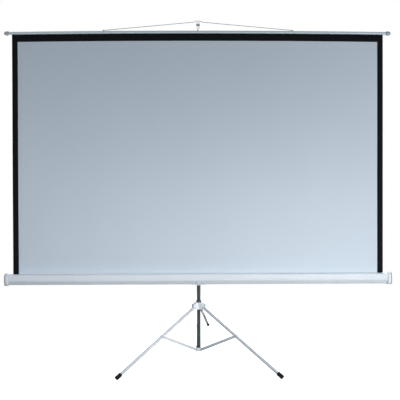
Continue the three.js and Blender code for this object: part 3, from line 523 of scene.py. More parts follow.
class Bench:
    """Where pieces are finished: it names them, paints them and fastens them to the frame."""

    def __init__(self) -> None:
        """Load the frame and keep its box."""
        self.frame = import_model()
        self.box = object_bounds()
        self.joints = {joint["name"]: joint for joint in self.frame["joints"]}

    def keep(self, name: str, bm: Mesh, coat: Coat, body: str, *nodes: str) -> bpy.types.Object:
        """Make a piece that rides on a body and stands for some nodes.

        Args:
            name: The piece's name.
            bm: Its shape, in place, which is used up.
            coat: Its finish.
            body: The body that carries it.
            nodes: The nodes that it stands for.

        Returns:
            The piece.
        """
        mesh = bpy.data.meshes.new(name)
        bm.to_mesh(mesh)
        bm.free()
        mesh.shade_smooth()
        mesh.set_sharp_from_angle(angle=SHARP_ANGLE)
        piece = add_object(name, mesh)
        mesh.materials.append(coat.value.material())
        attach(piece, body)
        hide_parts(*nodes)
        log.info("%s rides on %s, %d faces", name, body, len(mesh.polygons))
        return piece

    def paint(self, coat: Coat, *nodes: str) -> None:
        """Give nodes that stay as they are their finish."""
        for node in nodes:
            materials = self.frame["nodes"][node].data.materials
            materials.clear()
            materials.append(coat.value.material())
            log.info("%s keeps its shape", node)

    def keep_softened(self, name: str, node: str, edge_mm: float, coat: Coat, body: str) -> None:
        """Make a piece in a node's own shape, with its triangles joined and its sharp edges rounded.

        Args:
            name: The piece's name.
            node: The node that it copies and stands for.
            edge_mm: The rounding of its edges.
            coat: Its finish.
            body: The body that carries it.
        """
        bm = bmesh.new()
        bm.from_mesh(self.frame["nodes"][node].data)
        bmesh.ops.remove_doubles(bm, verts=bm.verts, dist=WELD)
        bmesh.ops.dissolve_limit(bm, angle_limit=FLAT_ANGLE, verts=bm.verts, edges=bm.edges)
        self.keep(name, rounded(bm, mm(edge_mm)), coat, body, node)

    def centre_of(self, joint: str) -> Vector:
        """Give the point that a hinge turns about."""
        return Vector(self.joints[joint]["pos_m"])


@dataclass
class Cloth:
    """The picture sheet with its printed mask, and the spare turns on the roller."""

    bench: Bench
    columns: int = 120
    rows: int = 80
    thickness_mm: float = 0.6
    mask_side_mm: float = 36.5
    mask_top_mm: float = 46.0
    mask_lift_mm: float = 0.5
    mask_thickness_mm: float = 0.2
    wave_mm: float = 2.0
    wave_length_mm: float = 640.0
    wave_slant: float = 0.3
    ripple_mm: float = 0.8
    ripple_length_mm: float = 270.0
    ripple_slant: float = -0.2
    roll_turns: int = 4
    roll_steps: int = 40
    roll_columns: int = 8

    # Width of cloth, in metres, that one unit of its UV map covers
    UV_SPAN = 2.5

    def __post_init__(self) -> None:
        """Read the box that the hanging sheet fills."""
        self.span = Span.of("screen_fabric")

    def build(self) -> None:
        """Make the sheet, its mask and its roll."""
        self._sheet()
        self._mask()
        self._roll()

    def _flat(self) -> Mesh:
        """Make the flat sheet as a grid with edges along the mask's lines."""
        bm = bmesh.new()
        bmesh.ops.create_grid(bm, x_segments=self.columns, y_segments=self.rows, size=0.5)
        size = self.span.size
        upright = Matrix.Translation(self.span.centre) @ Matrix.Rotation(math.pi / 2, 4, "X")
        bm.transform(upright @ Matrix.Diagonal((size.x, size.z, 1, 1)))
        for sign in SIDES.values():
            cut(bm, (sign * self._inner_x(), 0, 0), X_AXIS)
        cut(bm, (0, 0, self._inner_z()), Z_AXIS)
        self._lay_uv(bm, lambda co: (co.x - self.span.low.x, co.z - self.span.low.z))
        return bm

    def _hang(self, bm: Mesh) -> Mesh:
        """Let the flat sheet wave, and sink at its top with the slat."""
        for vert in bm.verts:
            share = (vert.co.z - self.span.low.z) / self.span.size.z
            vert.co += Vector((0, self._wave(vert.co.x, vert.co.z), -share * droop(vert.co.x)))
        return bm

    def _inner_x(self) -> float:
        """Give the half width of the picture inside the mask."""
        return self.span.high.x - mm(self.mask_side_mm)

    def _inner_z(self) -> float:
        """Give the height of the picture's top edge."""
        return self.span.high.z - mm(self.mask_top_mm)

    def _wave(self, x: float, z: float) -> float:
        """Give how far the hanging sheet bows out of its plane, fading to nothing at slat and roller."""
        share = (z - self.span.low.z) / self.span.size.z
        slack = math.sin(math.pi * share)
        slow = math.sin(2 * math.pi * (x + self.wave_slant * z) / mm(self.wave_length_mm))
        quick = math.sin(2 * math.pi * (x + self.ripple_slant * z) / mm(self.ripple_length_mm))
        return slack * (mm(self.wave_mm) * slow + mm(self.ripple_mm) * quick)

    def _lay_uv(self, bm: Mesh, spread: Callable[[Vector], Pair]) -> None:
        """Write a UV map that follows the cloth at one scale both ways.

        Args:
            bm: The cloth's mesh.
            spread: Where a point lies on the flat cloth, in metres.
        """
        layer = bm.loops.layers.uv.new("cloth")
        for face in bm.faces:
            for loop in face.loops:
                across, along = spread(loop.vert.co)
                loop[layer].uv = (across / self.UV_SPAN, along / self.UV_SPAN)

    def _thicken(self, piece: bpy.types.Object, thickness: float) -> None:
        """Give a sheet its thickness, half on each side."""
        wall = piece.modifiers.new("thickness", "SOLIDIFY")
        wall.thickness = thickness
        wall.offset = 0

    def _follow(self, piece: bpy.types.Object) -> None:
        """Give a piece of the sheet its own copy of its mesh."""
        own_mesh(piece)

    def _sheet(self) -> None:
        """Make the white sheet from the roller to the slat."""
        hung = self._hang(self._flat())
        sheet = self.bench.keep("picture_sheet", hung, Coat.SCREEN_WHITE, "case", "screen_fabric")
        self._thicken(sheet, mm(self.thickness_mm))
        self._follow(sheet)

    def _mask(self) -> None:
        """Make the black print along the top and both sides, just proud of the sheet."""
        bm = self._flat()
        foot = Span.of("black_border").low.z
        cut(bm, (0, 0, foot), Z_AXIS)
        bare = [face for face in bm.faces if self._is_bare(face.calc_center_median(), foot)]
        bmesh.ops.delete(bm, geom=bare, context="FACES")
        bmesh.ops.translate(bm, verts=bm.verts, vec=Y_AXIS * -mm(self.mask_lift_mm))
        mask = self.bench.keep("picture_mask", self._hang(bm), Coat.MASK_BLACK, "case", "black_border")
        self._thicken(mask, mm(self.mask_thickness_mm))
        self._follow(mask)

    def _is_bare(self, middle: Vector, foot: float) -> bool:
        """Tell whether a place on the sheet has no black print."""
        in_picture = abs(middle.x) < self._inner_x() and middle.z < self._inner_z()
        return in_picture or middle.z < foot

    def _roll(self) -> None:
        """Wind the spare cloth round the roller as one spiral sheet."""
        span = Span.of("fabric_roll")
        outer = span.size.z / 2 - mm(self.thickness_mm) / 2
        inner = Span.of("roller_tube").size.z / 2 + mm(self.thickness_mm)
        total = 2 * math.pi * self.roll_turns
        length = total * (outer + inner) / 2
        bm = bmesh.new()
        rows = self.roll_turns * self.roll_steps
        bmesh.ops.create_grid(bm, x_segments=self.roll_columns, y_segments=rows, size=0.5)
        self._lay_uv(bm, lambda co: (co.x * span.size.x + span.high.x, (co.y + 0.5) * length))
        for vert in bm.verts:
            share = vert.co.y + 0.5
            radius = inner + (outer - inner) * share
            angle = total * share
            vert.co = Vector((vert.co.x * span.size.x, radius * math.cos(angle), radius * math.sin(angle)))
        bmesh.ops.translate(bm, verts=bm.verts, vec=span.centre)
        roll = self.bench.keep("wound_sheet", bm, Coat.SCREEN_WHITE, "roller", "fabric_roll")
        self._thicken(roll, mm(self.thickness_mm))


@dataclass
class RollerCase:
    """The long case with its end caps, its saddle and what turns inside it."""

    bench: Bench
    wall_mm: float = 1.5
    belt_drop_mm: float = 8.0
    base_width_mm: float = 28.0
    shoulder_mm: float = 10.0
    corner_mm: float = 5.0
    corner_steps: int = 8
    slot_front_mm: float = 1.3
    slot_back_mm: float = 3.0
    slot_end_mm: float = 12.0
    cap_overhang_mm: float = 6.0
    cap_squareness: float = 3.2
    cap_steps: int = 72
    bumper_mm: float = 8.0
    bumper_rounding_mm: float = 6.0
    bumper_steps: int = 6
    bumper_dish_mm: float = 8.0
    bumper_dish_depth_mm: float = 1.5
    cap_shrink_mm: float = 1.0
    cap_edge_mm: float = 0.8
    saddle_edge_mm: float = 0.5

    def __post_init__(self) -> None:
        """Read the box that the shell fills."""
        self.span = Span.of("case_shell")

    def build(self) -> None:
        """Make the shell, both caps and the saddle, and paint the inner works."""
        self._shell()
        for side, sign in SIDES.items():
            self._cap(side, sign)
        self.bench.keep_softened("saddle", "case_saddle", self.saddle_edge_mm, Coat.WHITE_PAINT, "case")
        self.bench.paint(Coat.STEEL, "spring_axle", "roller_spring", "roller_tube", "roller_pin_plug")
        self.bench.paint(Coat.WHITE_PLASTIC, "roller_bush")

    def _section(self) -> Mesh:
        """Draw the case's closed outline as one face in Y and Z at x = 0, with rounded corners."""
        half = self.span.size.y / 2
        top = self.span.size.z / 2
        belt = -mm(self.belt_drop_mm)
        base = mm(self.base_width_mm) / 2
        outline = [(-half, top), (-half, belt), (-base, -top), (base, -top), (half, belt), (half, top)]
        bm = bmesh.new()
        corners = [bm.verts.new((0, y, z)) for y, z in outline]
        bm.faces.new(corners)
        shoulders = (corners[0], corners[-1])
        round_off(bm, corners[1:-1], mm(self.corner_mm), self.corner_steps, "VERTICES")
        round_off(bm, shoulders, mm(self.shoulder_mm), self.corner_steps, "VERTICES")
        return bm

    def _oval(self, overhang: float) -> Mesh:
        """Draw a cap's outline as one face in Y and Z at x = 0: a circle filled out towards its corners.

        Args:
            overhang: How far it stands out past the shell, in metres.

        Returns:
            The face.
        """
        bm = bmesh.new()
        bmesh.ops.create_circle(bm, cap_ends=True, segments=self.cap_steps, radius=1)
        power = self.cap_squareness
        for vert in bm.verts:
            reach = (abs(vert.co.x) ** power + abs(vert.co.y) ** power) ** (-1 / power)
            across = vert.co.x * reach * (self.span.size.y / 2 + overhang)
            vert.co = Vector((0, across, vert.co.y * reach * (self.span.size.z / 2 + overhang)))
        return bm

    def _drawn_out(self, bm: Mesh, start: float, end: float) -> Mesh:
        """Draw an outline out along X, from one place on the case's axis to another."""
        axis = self.span.centre
        return drawn_out(bm, Vector((start, axis.y, axis.z)), end - start)

    def _shell(self) -> None:
        """Make the open-ended shell with the slot that the sheet comes out of."""
        bm = self._drawn_out(self._section(), self.span.low.x, self.span.high.x)
        ends = [face for face in bm.faces if len(face.verts) > 4]
        bmesh.ops.delete(bm, geom=ends, context="FACES_ONLY")
        sheet = Span.of("screen_fabric").centre.y
        reach = self.span.high.x - mm(self.slot_end_mm)
        lips = [sheet - mm(self.slot_front_mm), sheet + mm(self.slot_back_mm)]
        for lip in lips:
            cut(bm, (0, lip, 0), Y_AXIS)
        for sign in SIDES.values():
            cut(bm, (sign * reach, 0, 0), X_AXIS)
        slot = [face for face in bm.faces if self._in_slot(face.calc_center_median(), lips, reach)]
        bmesh.ops.delete(bm, geom=slot, context="FACES")
        tidy(bm)
        bmesh.ops.solidify(bm, geom=bm.faces[:], thickness=mm(self.wall_mm))
        self.bench.keep("case_tube", bm, Coat.WHITE_PAINT, "case", "case_shell")

    def _in_slot(self, middle: Vector, lips: Sequence[float], reach: float) -> bool:
        """Tell whether a place on the shell lies in the slot on its top.

        Args:
            middle: The place.
            lips: The slot's front and back, along Y.
            reach: Half of the slot's length.

        Returns:
            True where the shell is open.
        """
        on_top = middle.z > self.span.centre.z
        return on_top and lips[0] < middle.y < lips[1] and abs(middle.x) < reach

    def _cap(self, side: str, sign: int) -> None:
        """Make one end cap: a white collar on the shell and a soft bumper with a dished face."""
        node = f"end_cap_{side}"
        span = Span.of(node)
        inner = sign * (self.span.high.x + mm(FIT_MM))
        outer = span.end(sign)
        seam = outer - sign * mm(self.bumper_mm)
        overhang = mm(self.cap_overhang_mm)
        collar = tidy(self._drawn_out(self._oval(overhang - mm(self.cap_shrink_mm)), inner, seam))
        rounded(collar, mm(self.cap_edge_mm))
        self.bench.keep(f"case_cap_{side}", collar, Coat.WHITE_PLASTIC, "case", node)
        bumper = tidy(self._drawn_out(self._oval(overhang), seam, outer))
        face = self._outermost(bumper, sign)
        round_off(bumper, face.edges, mm(self.bumper_rounding_mm), self.bumper_steps)
        face = self._outermost(bumper, sign)
        bmesh.ops.inset_region(bumper, faces=[face], thickness=mm(self.bumper_dish_mm))
        bmesh.ops.inset_region(bumper, faces=[face], thickness=mm(self.bumper_dish_depth_mm),
                               depth=-mm(self.bumper_dish_depth_mm))
        self.bench.keep(f"case_bumper_{side}", tidy(bumper), Coat.GREY_VINYL, "case", node)

    def _outermost(self, bm: Mesh, sign: int) -> bmesh.types.BMFace:
        """Find the face that lies furthest out along the case."""
        return max(bm.faces, key=lambda face: sign * face.calc_center_median().x)


@dataclass
class TopRail:
    """The slat at the top of the sheet, its finials and the wire that hangs it."""

    bench: Bench
    slat_wall_mm: float = 1.5
    slat_lengths: int = 24
    slat_sides: int = 48
    slit_mm: float = 2.4
    finial_steps: int = 10
    finial_neck_mm: float = 9.5
    finial_shoulder_mm: float = 2.0
    wire_mm: float = 4.0
    wire_roundness: int = 3
    wire_bends_mm: tuple[Pair, ...] = ((27.0, -8.0), (20.0, -3.5), (13.0, 0.0))
    clip_rounding_mm: float = 1.5

    def __post_init__(self) -> None:
        """Read the box that the slat fills."""
        self.span = Span.of("top_slat")
        self.radius = self.span.size.z / 2

    def build(self) -> None:
        """Make the slat, then what is fastened to it."""
        self._slat()
        for side, sign in SIDES.items():
            self._finial(side, sign)
            self._clip(side)
        self._wire()

    def _keep(self, name: str, bm: Mesh, coat: Coat, node: str) -> None:
        """Let a piece sink with the slat and fasten it to the rod."""
        for vert in bm.verts:
            vert.co.z -= droop(vert.co.x)
        self.bench.keep(name, bm, coat, "top_rod", node)

    def _slat(self) -> None:
        """Make the slat's tube, slit below for the sheet, in lengths short enough to follow its droop."""
        start = Vector((self.span.low.x, self.span.centre.y, self.span.centre.z))
        gap = 2 * math.asin(mm(self.slit_mm) / 2 / self.radius)
        bm = bmesh.new()
        lip = [bm.verts.new((0, 0, -radius)) for radius in (self.radius - mm(self.slat_wall_mm), self.radius)]
        bmesh.ops.rotate(bm, verts=lip, cent=(0, 0, 0), matrix=Matrix.Rotation(gap / 2, 3, "X"))
        bmesh.ops.spin(bm, geom=[*lip, bm.edges.new(lip)], axis=X_AXIS, cent=(0, 0, 0),
                       angle=2 * math.pi - gap, steps=self.slat_sides)
        tidy(drawn_out(bm, start, self.span.size.x))
        for step in range(1, self.slat_lengths):
            place = self.span.low.x + self.span.size.x * step / self.slat_lengths
            cut(bm, (place, 0, 0), X_AXIS)
        self._keep("slat", bm, Coat.SLAT_METAL, "top_slat")

    def _finial(self, side: str, sign: int) -> None:
        """Make one ball finial, with the neck that plugs into the slat."""
        node = f"slat_finial_{side}"
        span = Span.of(node)
        ball = span.size.z / 2
        tip = abs(span.end(sign))
        seat = self.span.high.x + mm(FIT_MM)
        length = tip - seat
        plug = mm(self.finial_neck_mm)
        neck = self.radius - mm(self.finial_shoulder_mm)
        # The ball starts where its swell is as wide as the slat
        first = math.acos(self.radius / ball) - math.pi / 2
        arc = [first * (1 - step / self.finial_steps) + math.pi / 2 * step / self.finial_steps
               for step in range(self.finial_steps + 1)]
        lift = math.sin(first)
        swell = [(ball * math.cos(angle), length * (math.sin(angle) - lift) / (1 - lift))
                 for angle in arc[:-1]]
        profile = [(0, -plug), (neck, -plug), (neck, 0), *swell, (0, length)]
        origin = Vector((sign * seat, span.centre.y, span.centre.z))
        bm = placed(turned(profile), turn_to(X_AXIS * sign, origin))
        self._keep(f"finial_{side}", bm, Coat.CAST_ALLOY, node)

    def _clip(self, side: str) -> None:
        """Make the small post on the slat that holds one end of the wire."""
        node = f"wire_clip_{side}"
        span = Span.of(node)
        radius = span.size.x / 2
        bm = turned([(0, 0), (radius, 0), (radius, span.size.z), (0, span.size.z)],
                    rounding=mm(self.clip_rounding_mm), sides=SMALL_SIDES)
        self._keep(f"clip_{side}", placed(bm, turn_to(Z_AXIS, span.foot)), Coat.STEEL, node)

    def _wire(self) -> None:
        """Bend the hanger wire: two long arms that rise to a small crest in the hook."""
        span = Span.of("hanger_wire")
        radius = mm(self.wire_mm) / 2
        crest = span.high.z - radius
        half = [(span.high.x, span.low.z + radius), *((mm(x), crest + mm(z)) for x, z in self.wire_bends_mm)]
        route = [(-x, z) for x, z in half] + [(x, z) for x, z in reversed(half)]
        curve = bpy.data.curves.new("wire_route", "CURVE")
        curve.dimensions = "3D"
        curve.bevel_depth = radius
        curve.bevel_resolution = self.wire_roundness
        curve.use_fill_caps = True
        spline = curve.splines.new("POLY")
        spline.points.add(len(route) - 1)
        for point, (x, z) in zip(spline.points, route):
            point.co = (x, span.centre.y, z, 1)
        drawn = add_object("wire_route", curve)
        graph = bpy.context.evaluated_depsgraph_get()
        mesh = bpy.data.meshes.new_from_object(drawn.evaluated_get(graph))
        bm = bmesh.new()
        bm.from_mesh(mesh)
        bpy.data.meshes.remove(mesh)
        bpy.data.objects.remove(drawn)
        bpy.data.curves.remove(curve)
        self._keep("hanger", tidy(bm), Coat.SPRING_STEEL, "hanger_wire")


@dataclass
class Mast:
    """Post, sleeve and rod, with their collars, knobs, carrier and hook."""

    bench: Bench
    post_wall_mm: float = 1.2
    sleeve_wall_mm: float = 1.0
    rod_wall_mm: float = 1.2
    rim_mm: float = 0.35
    collar_rounding_mm: float = 1.2
    collar_socket_mm: float = 8.0
    carrier_edge_mm: float = 1.2
    hook_edge_mm: float = 1.2
    plate_edge_mm: float = 0.4
    knob_edge_mm: float = 1.0

    def build(self) -> None:
        """Make the tubes, then what is clamped to them."""
        self._upright("post_tube", "post", self.post_wall_mm, Coat.DARK_TUBE, "tripod_post")
        self._upright("sleeve_tube", "sleeve", self.sleeve_wall_mm, Coat.DARK_TUBE, "case")
        self._upright("top_rod", "rod", self.rod_wall_mm, Coat.BRIGHT_TUBE, "top_rod")
        self._collar("mast_collar", "post_tube", Z_AXIS)
        self._collar("rod_collar", "top_rod", -Z_AXIS)
        soften = self.bench.keep_softened
        for knob in ("mast_knob", "rod_knob"):
            soften(f"{knob}_grip", knob, self.knob_edge_mm, Coat.BLACK_PLASTIC, knob)
        soften("carrier", "case_carrier", self.carrier_edge_mm, Coat.WHITE_PLASTIC, "case")
        soften("hook", "top_hook", self.hook_edge_mm, Coat.BRIGHT_TUBE, "top_rod")
        soften("hook_face", "hook_plate", self.plate_edge_mm, Coat.SPRING_STEEL, "top_rod")
        self.bench.paint(Coat.WHITE_PLASTIC, "post_bush")

    def _upright(self, node: str, name: str, wall_mm: float, coat: Coat, body: str) -> None:
        """Make one upright tube of the mast.

        Args:
            node: The tube's node, which it stands for.
            name: The piece's name.
            wall_mm: Thickness of its wall.
            coat: Its finish.
            body: The body that carries it.
        """
        span = Span.of(node)
        outer = span.size.x / 2
        bm = pipe(outer, outer - mm(wall_mm), span.size.z, mm(self.rim_mm))
        self.bench.keep(name, placed(bm, turn_to(Z_AXIS, span.foot)), coat, body, node)

    def _collar(self, node: str, sliding: str, up: Vector) -> None:
        """Make one clamp collar: a guide for the tube that slides, and a socket for the sleeve.

        Args:
            node: The collar's node.
            sliding: The node of the tube that slides in it.
            up: The way that its socket opens.
        """
        span = Span.of(node)
        outer = span.size.x / 2
        guide = Span.of(sliding).size.x / 2 + mm(FIT_MM)
        socket = Span.of("sleeve_tube").size.x / 2 + mm(FIT_MM)
        height = span.size.z
        step = height - mm(self.collar_socket_mm)
        profile = [(guide, 0), (outer, 0), (outer, height), (socket, height), (socket, step), (guide, step)]
        foot = span.centre - up * height / 2
        bm = turned(profile, ring=True, rounding=mm(self.collar_rounding_mm))
        bm.transform(turn_to(up, foot))
        self.bench.keep(node.replace("collar", "clamp"), bm, Coat.WHITE_PLASTIC, "case", node)


@dataclass
class Tripod:
    """Hubs, legs, feet, braces, rivets and the lock lever."""

    bench: Bench
    leg_angle: float = 54.8
    leg_length_mm: float = 684.0
    leg_diameter_mm: float = 20.0
    leg_wall_mm: float = 1.5
    leg_top_mm: float = 10.0
    leg_rim_mm: float = 0.4
    foot_sole_mm: float = 12.0
    foot_diameter_mm: float = 27.0
    foot_length_mm: float = 42.0
    foot_groove_mm: float = 1.2
    foot_grooves: int = 3
    foot_edge_mm: float = 0.4
    hub_edge_mm: float = 0.8
    brace_edge_mm: float = 0.5
    lever_edge_mm: float = 0.8
    ring_rounding_mm: float = 0.8
    hub_grip_mm: float = 29.6
    brace_grip_mm: float = 23.8
    lever_grip_mm: float = 14.6
    rivet_head_mm: float = 9.0
    rivet_shank_mm: float = 5.0
    rivet_dome_mm: float = 2.2
    rivet_edge_mm: float = 0.3
    lever_azimuth: float = 30.0

    def build(self) -> None:
        """Make the hubs, each leg's pieces, and the lever."""
        soften = self.bench.keep_softened
        for hub, body in (("leg_hub", "leg_hub"), ("lower_hub", "tripod_post")):
            soften(f"{hub}_body", hub, self.hub_edge_mm, Coat.WHITE_PLASTIC, body)
        soften("lock_cone", "lock_ring", self.ring_rounding_mm, Coat.DARK_TUBE, "leg_hub")
        for side, azimuth in LEG_AZIMUTHS.items():
            self._leg(side, azimuth)
            self._brace(side, azimuth)
        self._lever()
        for side in SIDES:
            rivet = f"saddle_rivet_{side}"
            soften(f"{rivet}_head", rivet, self.rivet_edge_mm, Coat.STEEL, "case")

    def _leg(self, side: str, azimuth: float) -> None:
        """Make one leg tube and its rubber foot."""
        pivot = self.bench.centre_of(f"leg_{side}_swing")
        tilt = Matrix.Rotation(-math.radians(self.leg_angle), 4, "Y")
        stand = Matrix.Translation(pivot) @ around(azimuth) @ tilt
        radius = mm(self.leg_diameter_mm) / 2
        end = mm(self.leg_length_mm - self.foot_sole_mm)
        top = mm(self.leg_top_mm)
        bm = pipe(radius, radius - mm(self.leg_wall_mm), end + top, mm(self.leg_rim_mm))
        bm.transform(stand @ Matrix.Translation((0, 0, -end)))
        self.bench.keep(f"leg_tube_{side}", bm, Coat.LEG_PAINT_AND_PAINTED_SHADE, f"leg_{side}", f"leg_{side}")
        self._foot(side, stand)
        self._rivet(f"hub_rivet_{side}", azimuth, "leg_hub", self.hub_grip_mm)

    def _foot(self, side: str, stand: Matrix) -> None:
        """Make one rubber foot with grip grooves, worn flat where it stands."""
        outer = mm(self.foot_diameter_mm) / 2
        length = mm(self.foot_length_mm)
        bore = mm(self.leg_diameter_mm) / 2 + mm(FIT_MM)
        sole = mm(self.foot_sole_mm)
        groove = mm(self.foot_groove_mm)
        pitch = (length - sole) / (self.foot_grooves + 1)
        profile = [(0, 0), (outer, 0)]
        for number in range(1, self.foot_grooves + 1):
            height = sole + pitch * number
            profile += [(outer, height - groove), (outer - groove, height), (outer, height + groove)]
        profile += [(outer, length - groove), (bore, length), (bore, sole), (0, sole)]
        bm = turned(profile, rounding=mm(self.foot_edge_mm))
        bm.transform(stand @ Matrix.Translation((0, 0, -mm(self.leg_length_mm))))
        cut(bm, (0, 0, 0), Z_AXIS, drop_behind=True)
        rim = [edge for edge in bm.edges if edge.is_boundary]
        bmesh.ops.contextual_create(bm, geom=rim)
        self.bench.keep(f"foot_pad_{side}", tidy(bm), Coat.BLACK_RUBBER, f"leg_{side}", f"foot_{side}")

    def _brace(self, side: str, azimuth: float) -> None:
        """Make one brace and the rivets at both its ends."""
        body = f"brace_{side}"
        self.bench.keep_softened(f"brace_channel_{side}", body, self.brace_edge_mm, Coat.LEG_PAINT_AND_PAINTED_SHADE, body)
        self._rivet(f"brace_rivet_{side}", azimuth, body, self.brace_grip_mm)
        self._rivet(f"lower_rivet_{side}", azimuth, "tripod_post", self.brace_grip_mm)

    def _rivet(self, node: str, azimuth: float, body: str, grip_mm: float) -> None:
        """Make one round-headed rivet across a leg's or the lever's direction.

        Args:
            node: The rivet's node.
            azimuth: The direction of what it holds, in degrees.
            body: The body that carries it.
            grip_mm: Width of what its two heads hold together.
        """
        head = mm(self.rivet_head_mm) / 2
        shank = mm(self.rivet_shank_mm) / 2
        dome = mm(self.rivet_dome_mm)
        seat = mm(grip_mm / 2 + FIT_MM)
        tip = seat + dome
        half = [(0, tip), (head / 2, tip), (head, seat + dome / 2), (head, seat), (shank, seat)]
        profile = [(radius, -height) for radius, height in half] + half[::-1]
        across = around(azimuth) @ Y_AXIS
        bm = turned(profile, rounding=mm(self.rivet_edge_mm), sides=SMALL_SIDES)
        bm.transform(turn_to(across, Span.of(node).centre))
        self.bench.keep(f"{node}_pin", bm, Coat.STEEL, body, node)

    def _lever(self) -> None:
        """Make the lock lever, its pin and its rubber grip."""
        soften = self.bench.keep_softened
        soften("lever_arm", "lock_lever", self.lever_edge_mm, Coat.LEVER_ENAMEL, "lock_lever")
        soften("lever_handle", "lever_grip", self.lever_edge_mm, Coat.BLACK_RUBBER, "lock_lever")
        self._rivet("lever_pin", self.lever_azimuth, "leg_hub", self.lever_grip_mm)


@dataclass(frozen=True)
class Lamp:
    """One lamp of the studio, which the camera doesn't see.

    Attributes:
        name: Its name.
        place: Where it hangs, in metres.
        aim: The point that it faces.
        watts: Its power.
    """

    name: str
    place: Point
    aim: Point
    watts: float

    def hang(self) -> None:
        """Put the lamp in place and turn it to what it lights."""
        light = self._light()
        light.energy = self.watts
        holder = add_object(self.name, light)
        holder.location = self.place
        holder.rotation_euler = (Vector(self.aim) - Vector(self.place)).to_track_quat("-Z", "Y").to_euler()
        holder.visible_camera = False

    def _light(self) -> bpy.types.Light:
        """Make the light itself, which each kind of lamp does in its own way."""
        raise NotImplementedError


@dataclass(frozen=True)
class Softbox(Lamp):
    """A wide soft lamp, with a grid in front where its spread is narrowed.

    Attributes:
        size: Width and height of its front, in metres.
        spread: The angle that its light fills, in degrees.
    """

    size: Pair
    spread: float = 180.0

    def _light(self) -> bpy.types.Light:
        """Make a square-cornered light."""
        light = bpy.data.lights.new(self.name, "AREA")
        light.shape = "RECTANGLE"
        light.size, light.size_y = self.size
        light.spread = math.radians(self.spread)
        return light


@dataclass(frozen=True)
class Snoot(Lamp):
    """A small lamp in a tube, which holds back all its light but a cone with a soft rim.

    Attributes:
        width: Diameter of its front, in metres.
        cone: The angle that its light fills, in degrees.
        soft_rim: Share of the cone over which its light fades out.
    """

    width: float
    cone: float
    soft_rim: float = 0.7

    def _light(self) -> bpy.types.Light:
        """Make a light that fills a cone."""
        light = bpy.data.lights.new(self.name, "SPOT")
        light.shadow_soft_size = self.width / 2
        light.spot_size = math.radians(self.cone)
        light.spot_blend = self.soft_rim
        return light


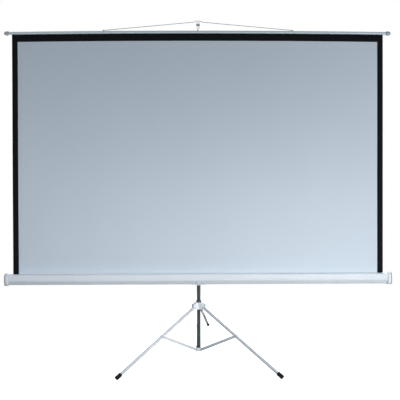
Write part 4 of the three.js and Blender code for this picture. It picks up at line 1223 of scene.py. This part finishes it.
@dataclass
class Studio:
    """Camera, lamps, white surround and pale floor."""

    camera_place: Point = (-0.0675, -5.2148, 1.1619)
    camera_yaw: float = -0.880
    camera_pitch: float = -0.662
    camera_roll: float = -0.166
    focal_px: float = 775.5
    surround: str = "EAF4FF"
    surround_strength: float = 0.445
    floor_colour: str = "F2F4F6"
    floor_bounce: str = "6E7276"
    floor_glow: float = 0.75
    floor_reach: float = 40.0
    floor_lit: Pair = (1.5, 4.0)
    lamps: tuple[Lamp, ...] = (
        Softbox("key_right", (2.81, -2.26, 0.65), (0.23, -0.2, 0.67), 42.0, size=(1.4, 0.77)),
        Softbox("front_strip", (-0.18, -1.29, 0.66), (-0.34, -0.2, 0.86), 8.2, size=(3.0, 0.27)),
        Softbox("back", (1.0, 3.2, 2.0), (0.0, -0.1, 1.1), 95.0, size=(3.0, 2.0)),
        Snoot("left_leg", (1.5, -2.4, 0.3), (-0.29, -0.31, 0.15), 92.0, width=0.3, cone=17.0),
        Softbox("left_fill", (-2.4, -2.3, 2.0), (-1.0, -0.2, 1.7), 0.65, size=(0.8, 0.8), spread=70.0),
    )

    def build(self) -> None:
        """Set up the camera, the lamps, the surround and the floor."""
        bpy.context.scene.view_settings.view_transform = "Standard"
        self._camera()
        self._surround()
        self._floor()
        for lamp in self.lamps:
            lamp.hang()

    def _camera(self) -> None:
        """Stand the camera where the photograph was taken from."""
        data = bpy.data.cameras.new("camera")
        data.lens = self.focal_px / PHOTO_WIDTH_PX * data.sensor_width
        camera = add_object("camera", data)
        yaw = Matrix.Rotation(math.radians(self.camera_yaw), 4, "Z")
        pitch = Matrix.Rotation(math.pi / 2 + math.radians(self.camera_pitch), 4, "X")
        roll = Matrix.Rotation(math.radians(self.camera_roll), 4, "Z")
        camera.matrix_world = Matrix.Translation(self.camera_place) @ yaw @ pitch @ roll
        bpy.context.scene.camera = camera

    def _seen(self, tree: Tree) -> Socket:
        """Give 1 for a ray that the eye, a mirror or glass sends, and 0 for one that only lights."""
        path = add_node(tree, "ShaderNodeLightPath").outputs
        mirrored = larger(tree, path["Is Glossy Ray"], path["Is Transmission Ray"])
        return larger(tree, path["Is Camera Ray"], mirrored)

    def _surround(self) -> None:
        """Light the object evenly from all round, and show white behind it."""
        world = bpy.data.worlds.new("surround")
        bpy.context.scene.world = world
        tree = bare_tree(world)
        light = add_node(tree, "ShaderNodeBackground", {
            "Color": linear(self.surround), "Strength": self.surround_strength,
        })
        white = add_node(tree, "ShaderNodeBackground", {"Color": linear("FFFFFF"), "Strength": 1.0})
        mixed = add_node(tree, "ShaderNodeMixShader", {
            0: self._seen(tree), 1: light.outputs[0], 2: white.outputs[0],
        })
        add_node(tree, "ShaderNodeOutputWorld", {"Surface": mixed.outputs[0]})

    def _floor(self) -> None:
        """Lay a wide floor under the object."""
        bm = bmesh.new()
        bmesh.ops.create_grid(bm, x_segments=1, y_segments=1, size=self.floor_reach)
        mesh = bpy.data.meshes.new("floor")
        bm.to_mesh(mesh)
        bm.free()
        mesh.materials.append(self._floor_paint())
        add_object("floor", mesh)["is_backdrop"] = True

    def _floor_paint(self) -> bpy.types.Material:
        """Mix a pale paint that keeps the object's shadow and fades to white away from it."""
        material = bpy.data.materials.new("pale studio floor")
        tree = bare_tree(material)
        paint = add_node(tree, "ShaderNodeBsdfDiffuse", {"Color": linear(self.floor_colour)})
        dim = add_node(tree, "ShaderNodeBsdfDiffuse", {"Color": linear(self.floor_bounce)})
        glow = add_node(tree, "ShaderNodeEmission", {"Strength": self.floor_glow})
        lit = add_node(tree, "ShaderNodeAddShader", {0: paint.outputs[0], 1: glow.outputs[0]})
        white = add_node(tree, "ShaderNodeEmission", {"Strength": 1.0})
        place = add_node(tree, "ShaderNodeTexCoord").outputs["Object"]
        away = add_node(tree, "ShaderNodeVectorMath", {0: place}, operation="LENGTH")
        fade = add_node(tree, "ShaderNodeMapRange", {
            "Value": away.outputs["Value"], "From Min": self.floor_lit[0], "From Max": self.floor_lit[1],
        })
        shown = add_node(tree, "ShaderNodeMixShader", {
            0: fade.outputs[0], 1: lit.outputs[0], 2: white.outputs[0],
        })
        mixed = add_node(tree, "ShaderNodeMixShader", {
            0: self._seen(tree), 1: dim.outputs[0], 2: shown.outputs[0],
        })
        add_node(tree, "ShaderNodeOutputMaterial", {"Surface": mixed.outputs[0]})
        return material


def main() -> None:
    """Build the studio and each sub-assembly in order."""
    logging.basicConfig(level=logging.INFO, format="%(message)s")
    bpy.ops.object.select_all(action="SELECT")
    bpy.ops.object.delete()
    bench = Bench()
    Studio().build()
    for assembly in (Cloth(bench), RollerCase(bench), TopRail(bench), Mast(bench), Tripod(bench)):
        assembly.build()


if __name__ == "__main__":
    main()
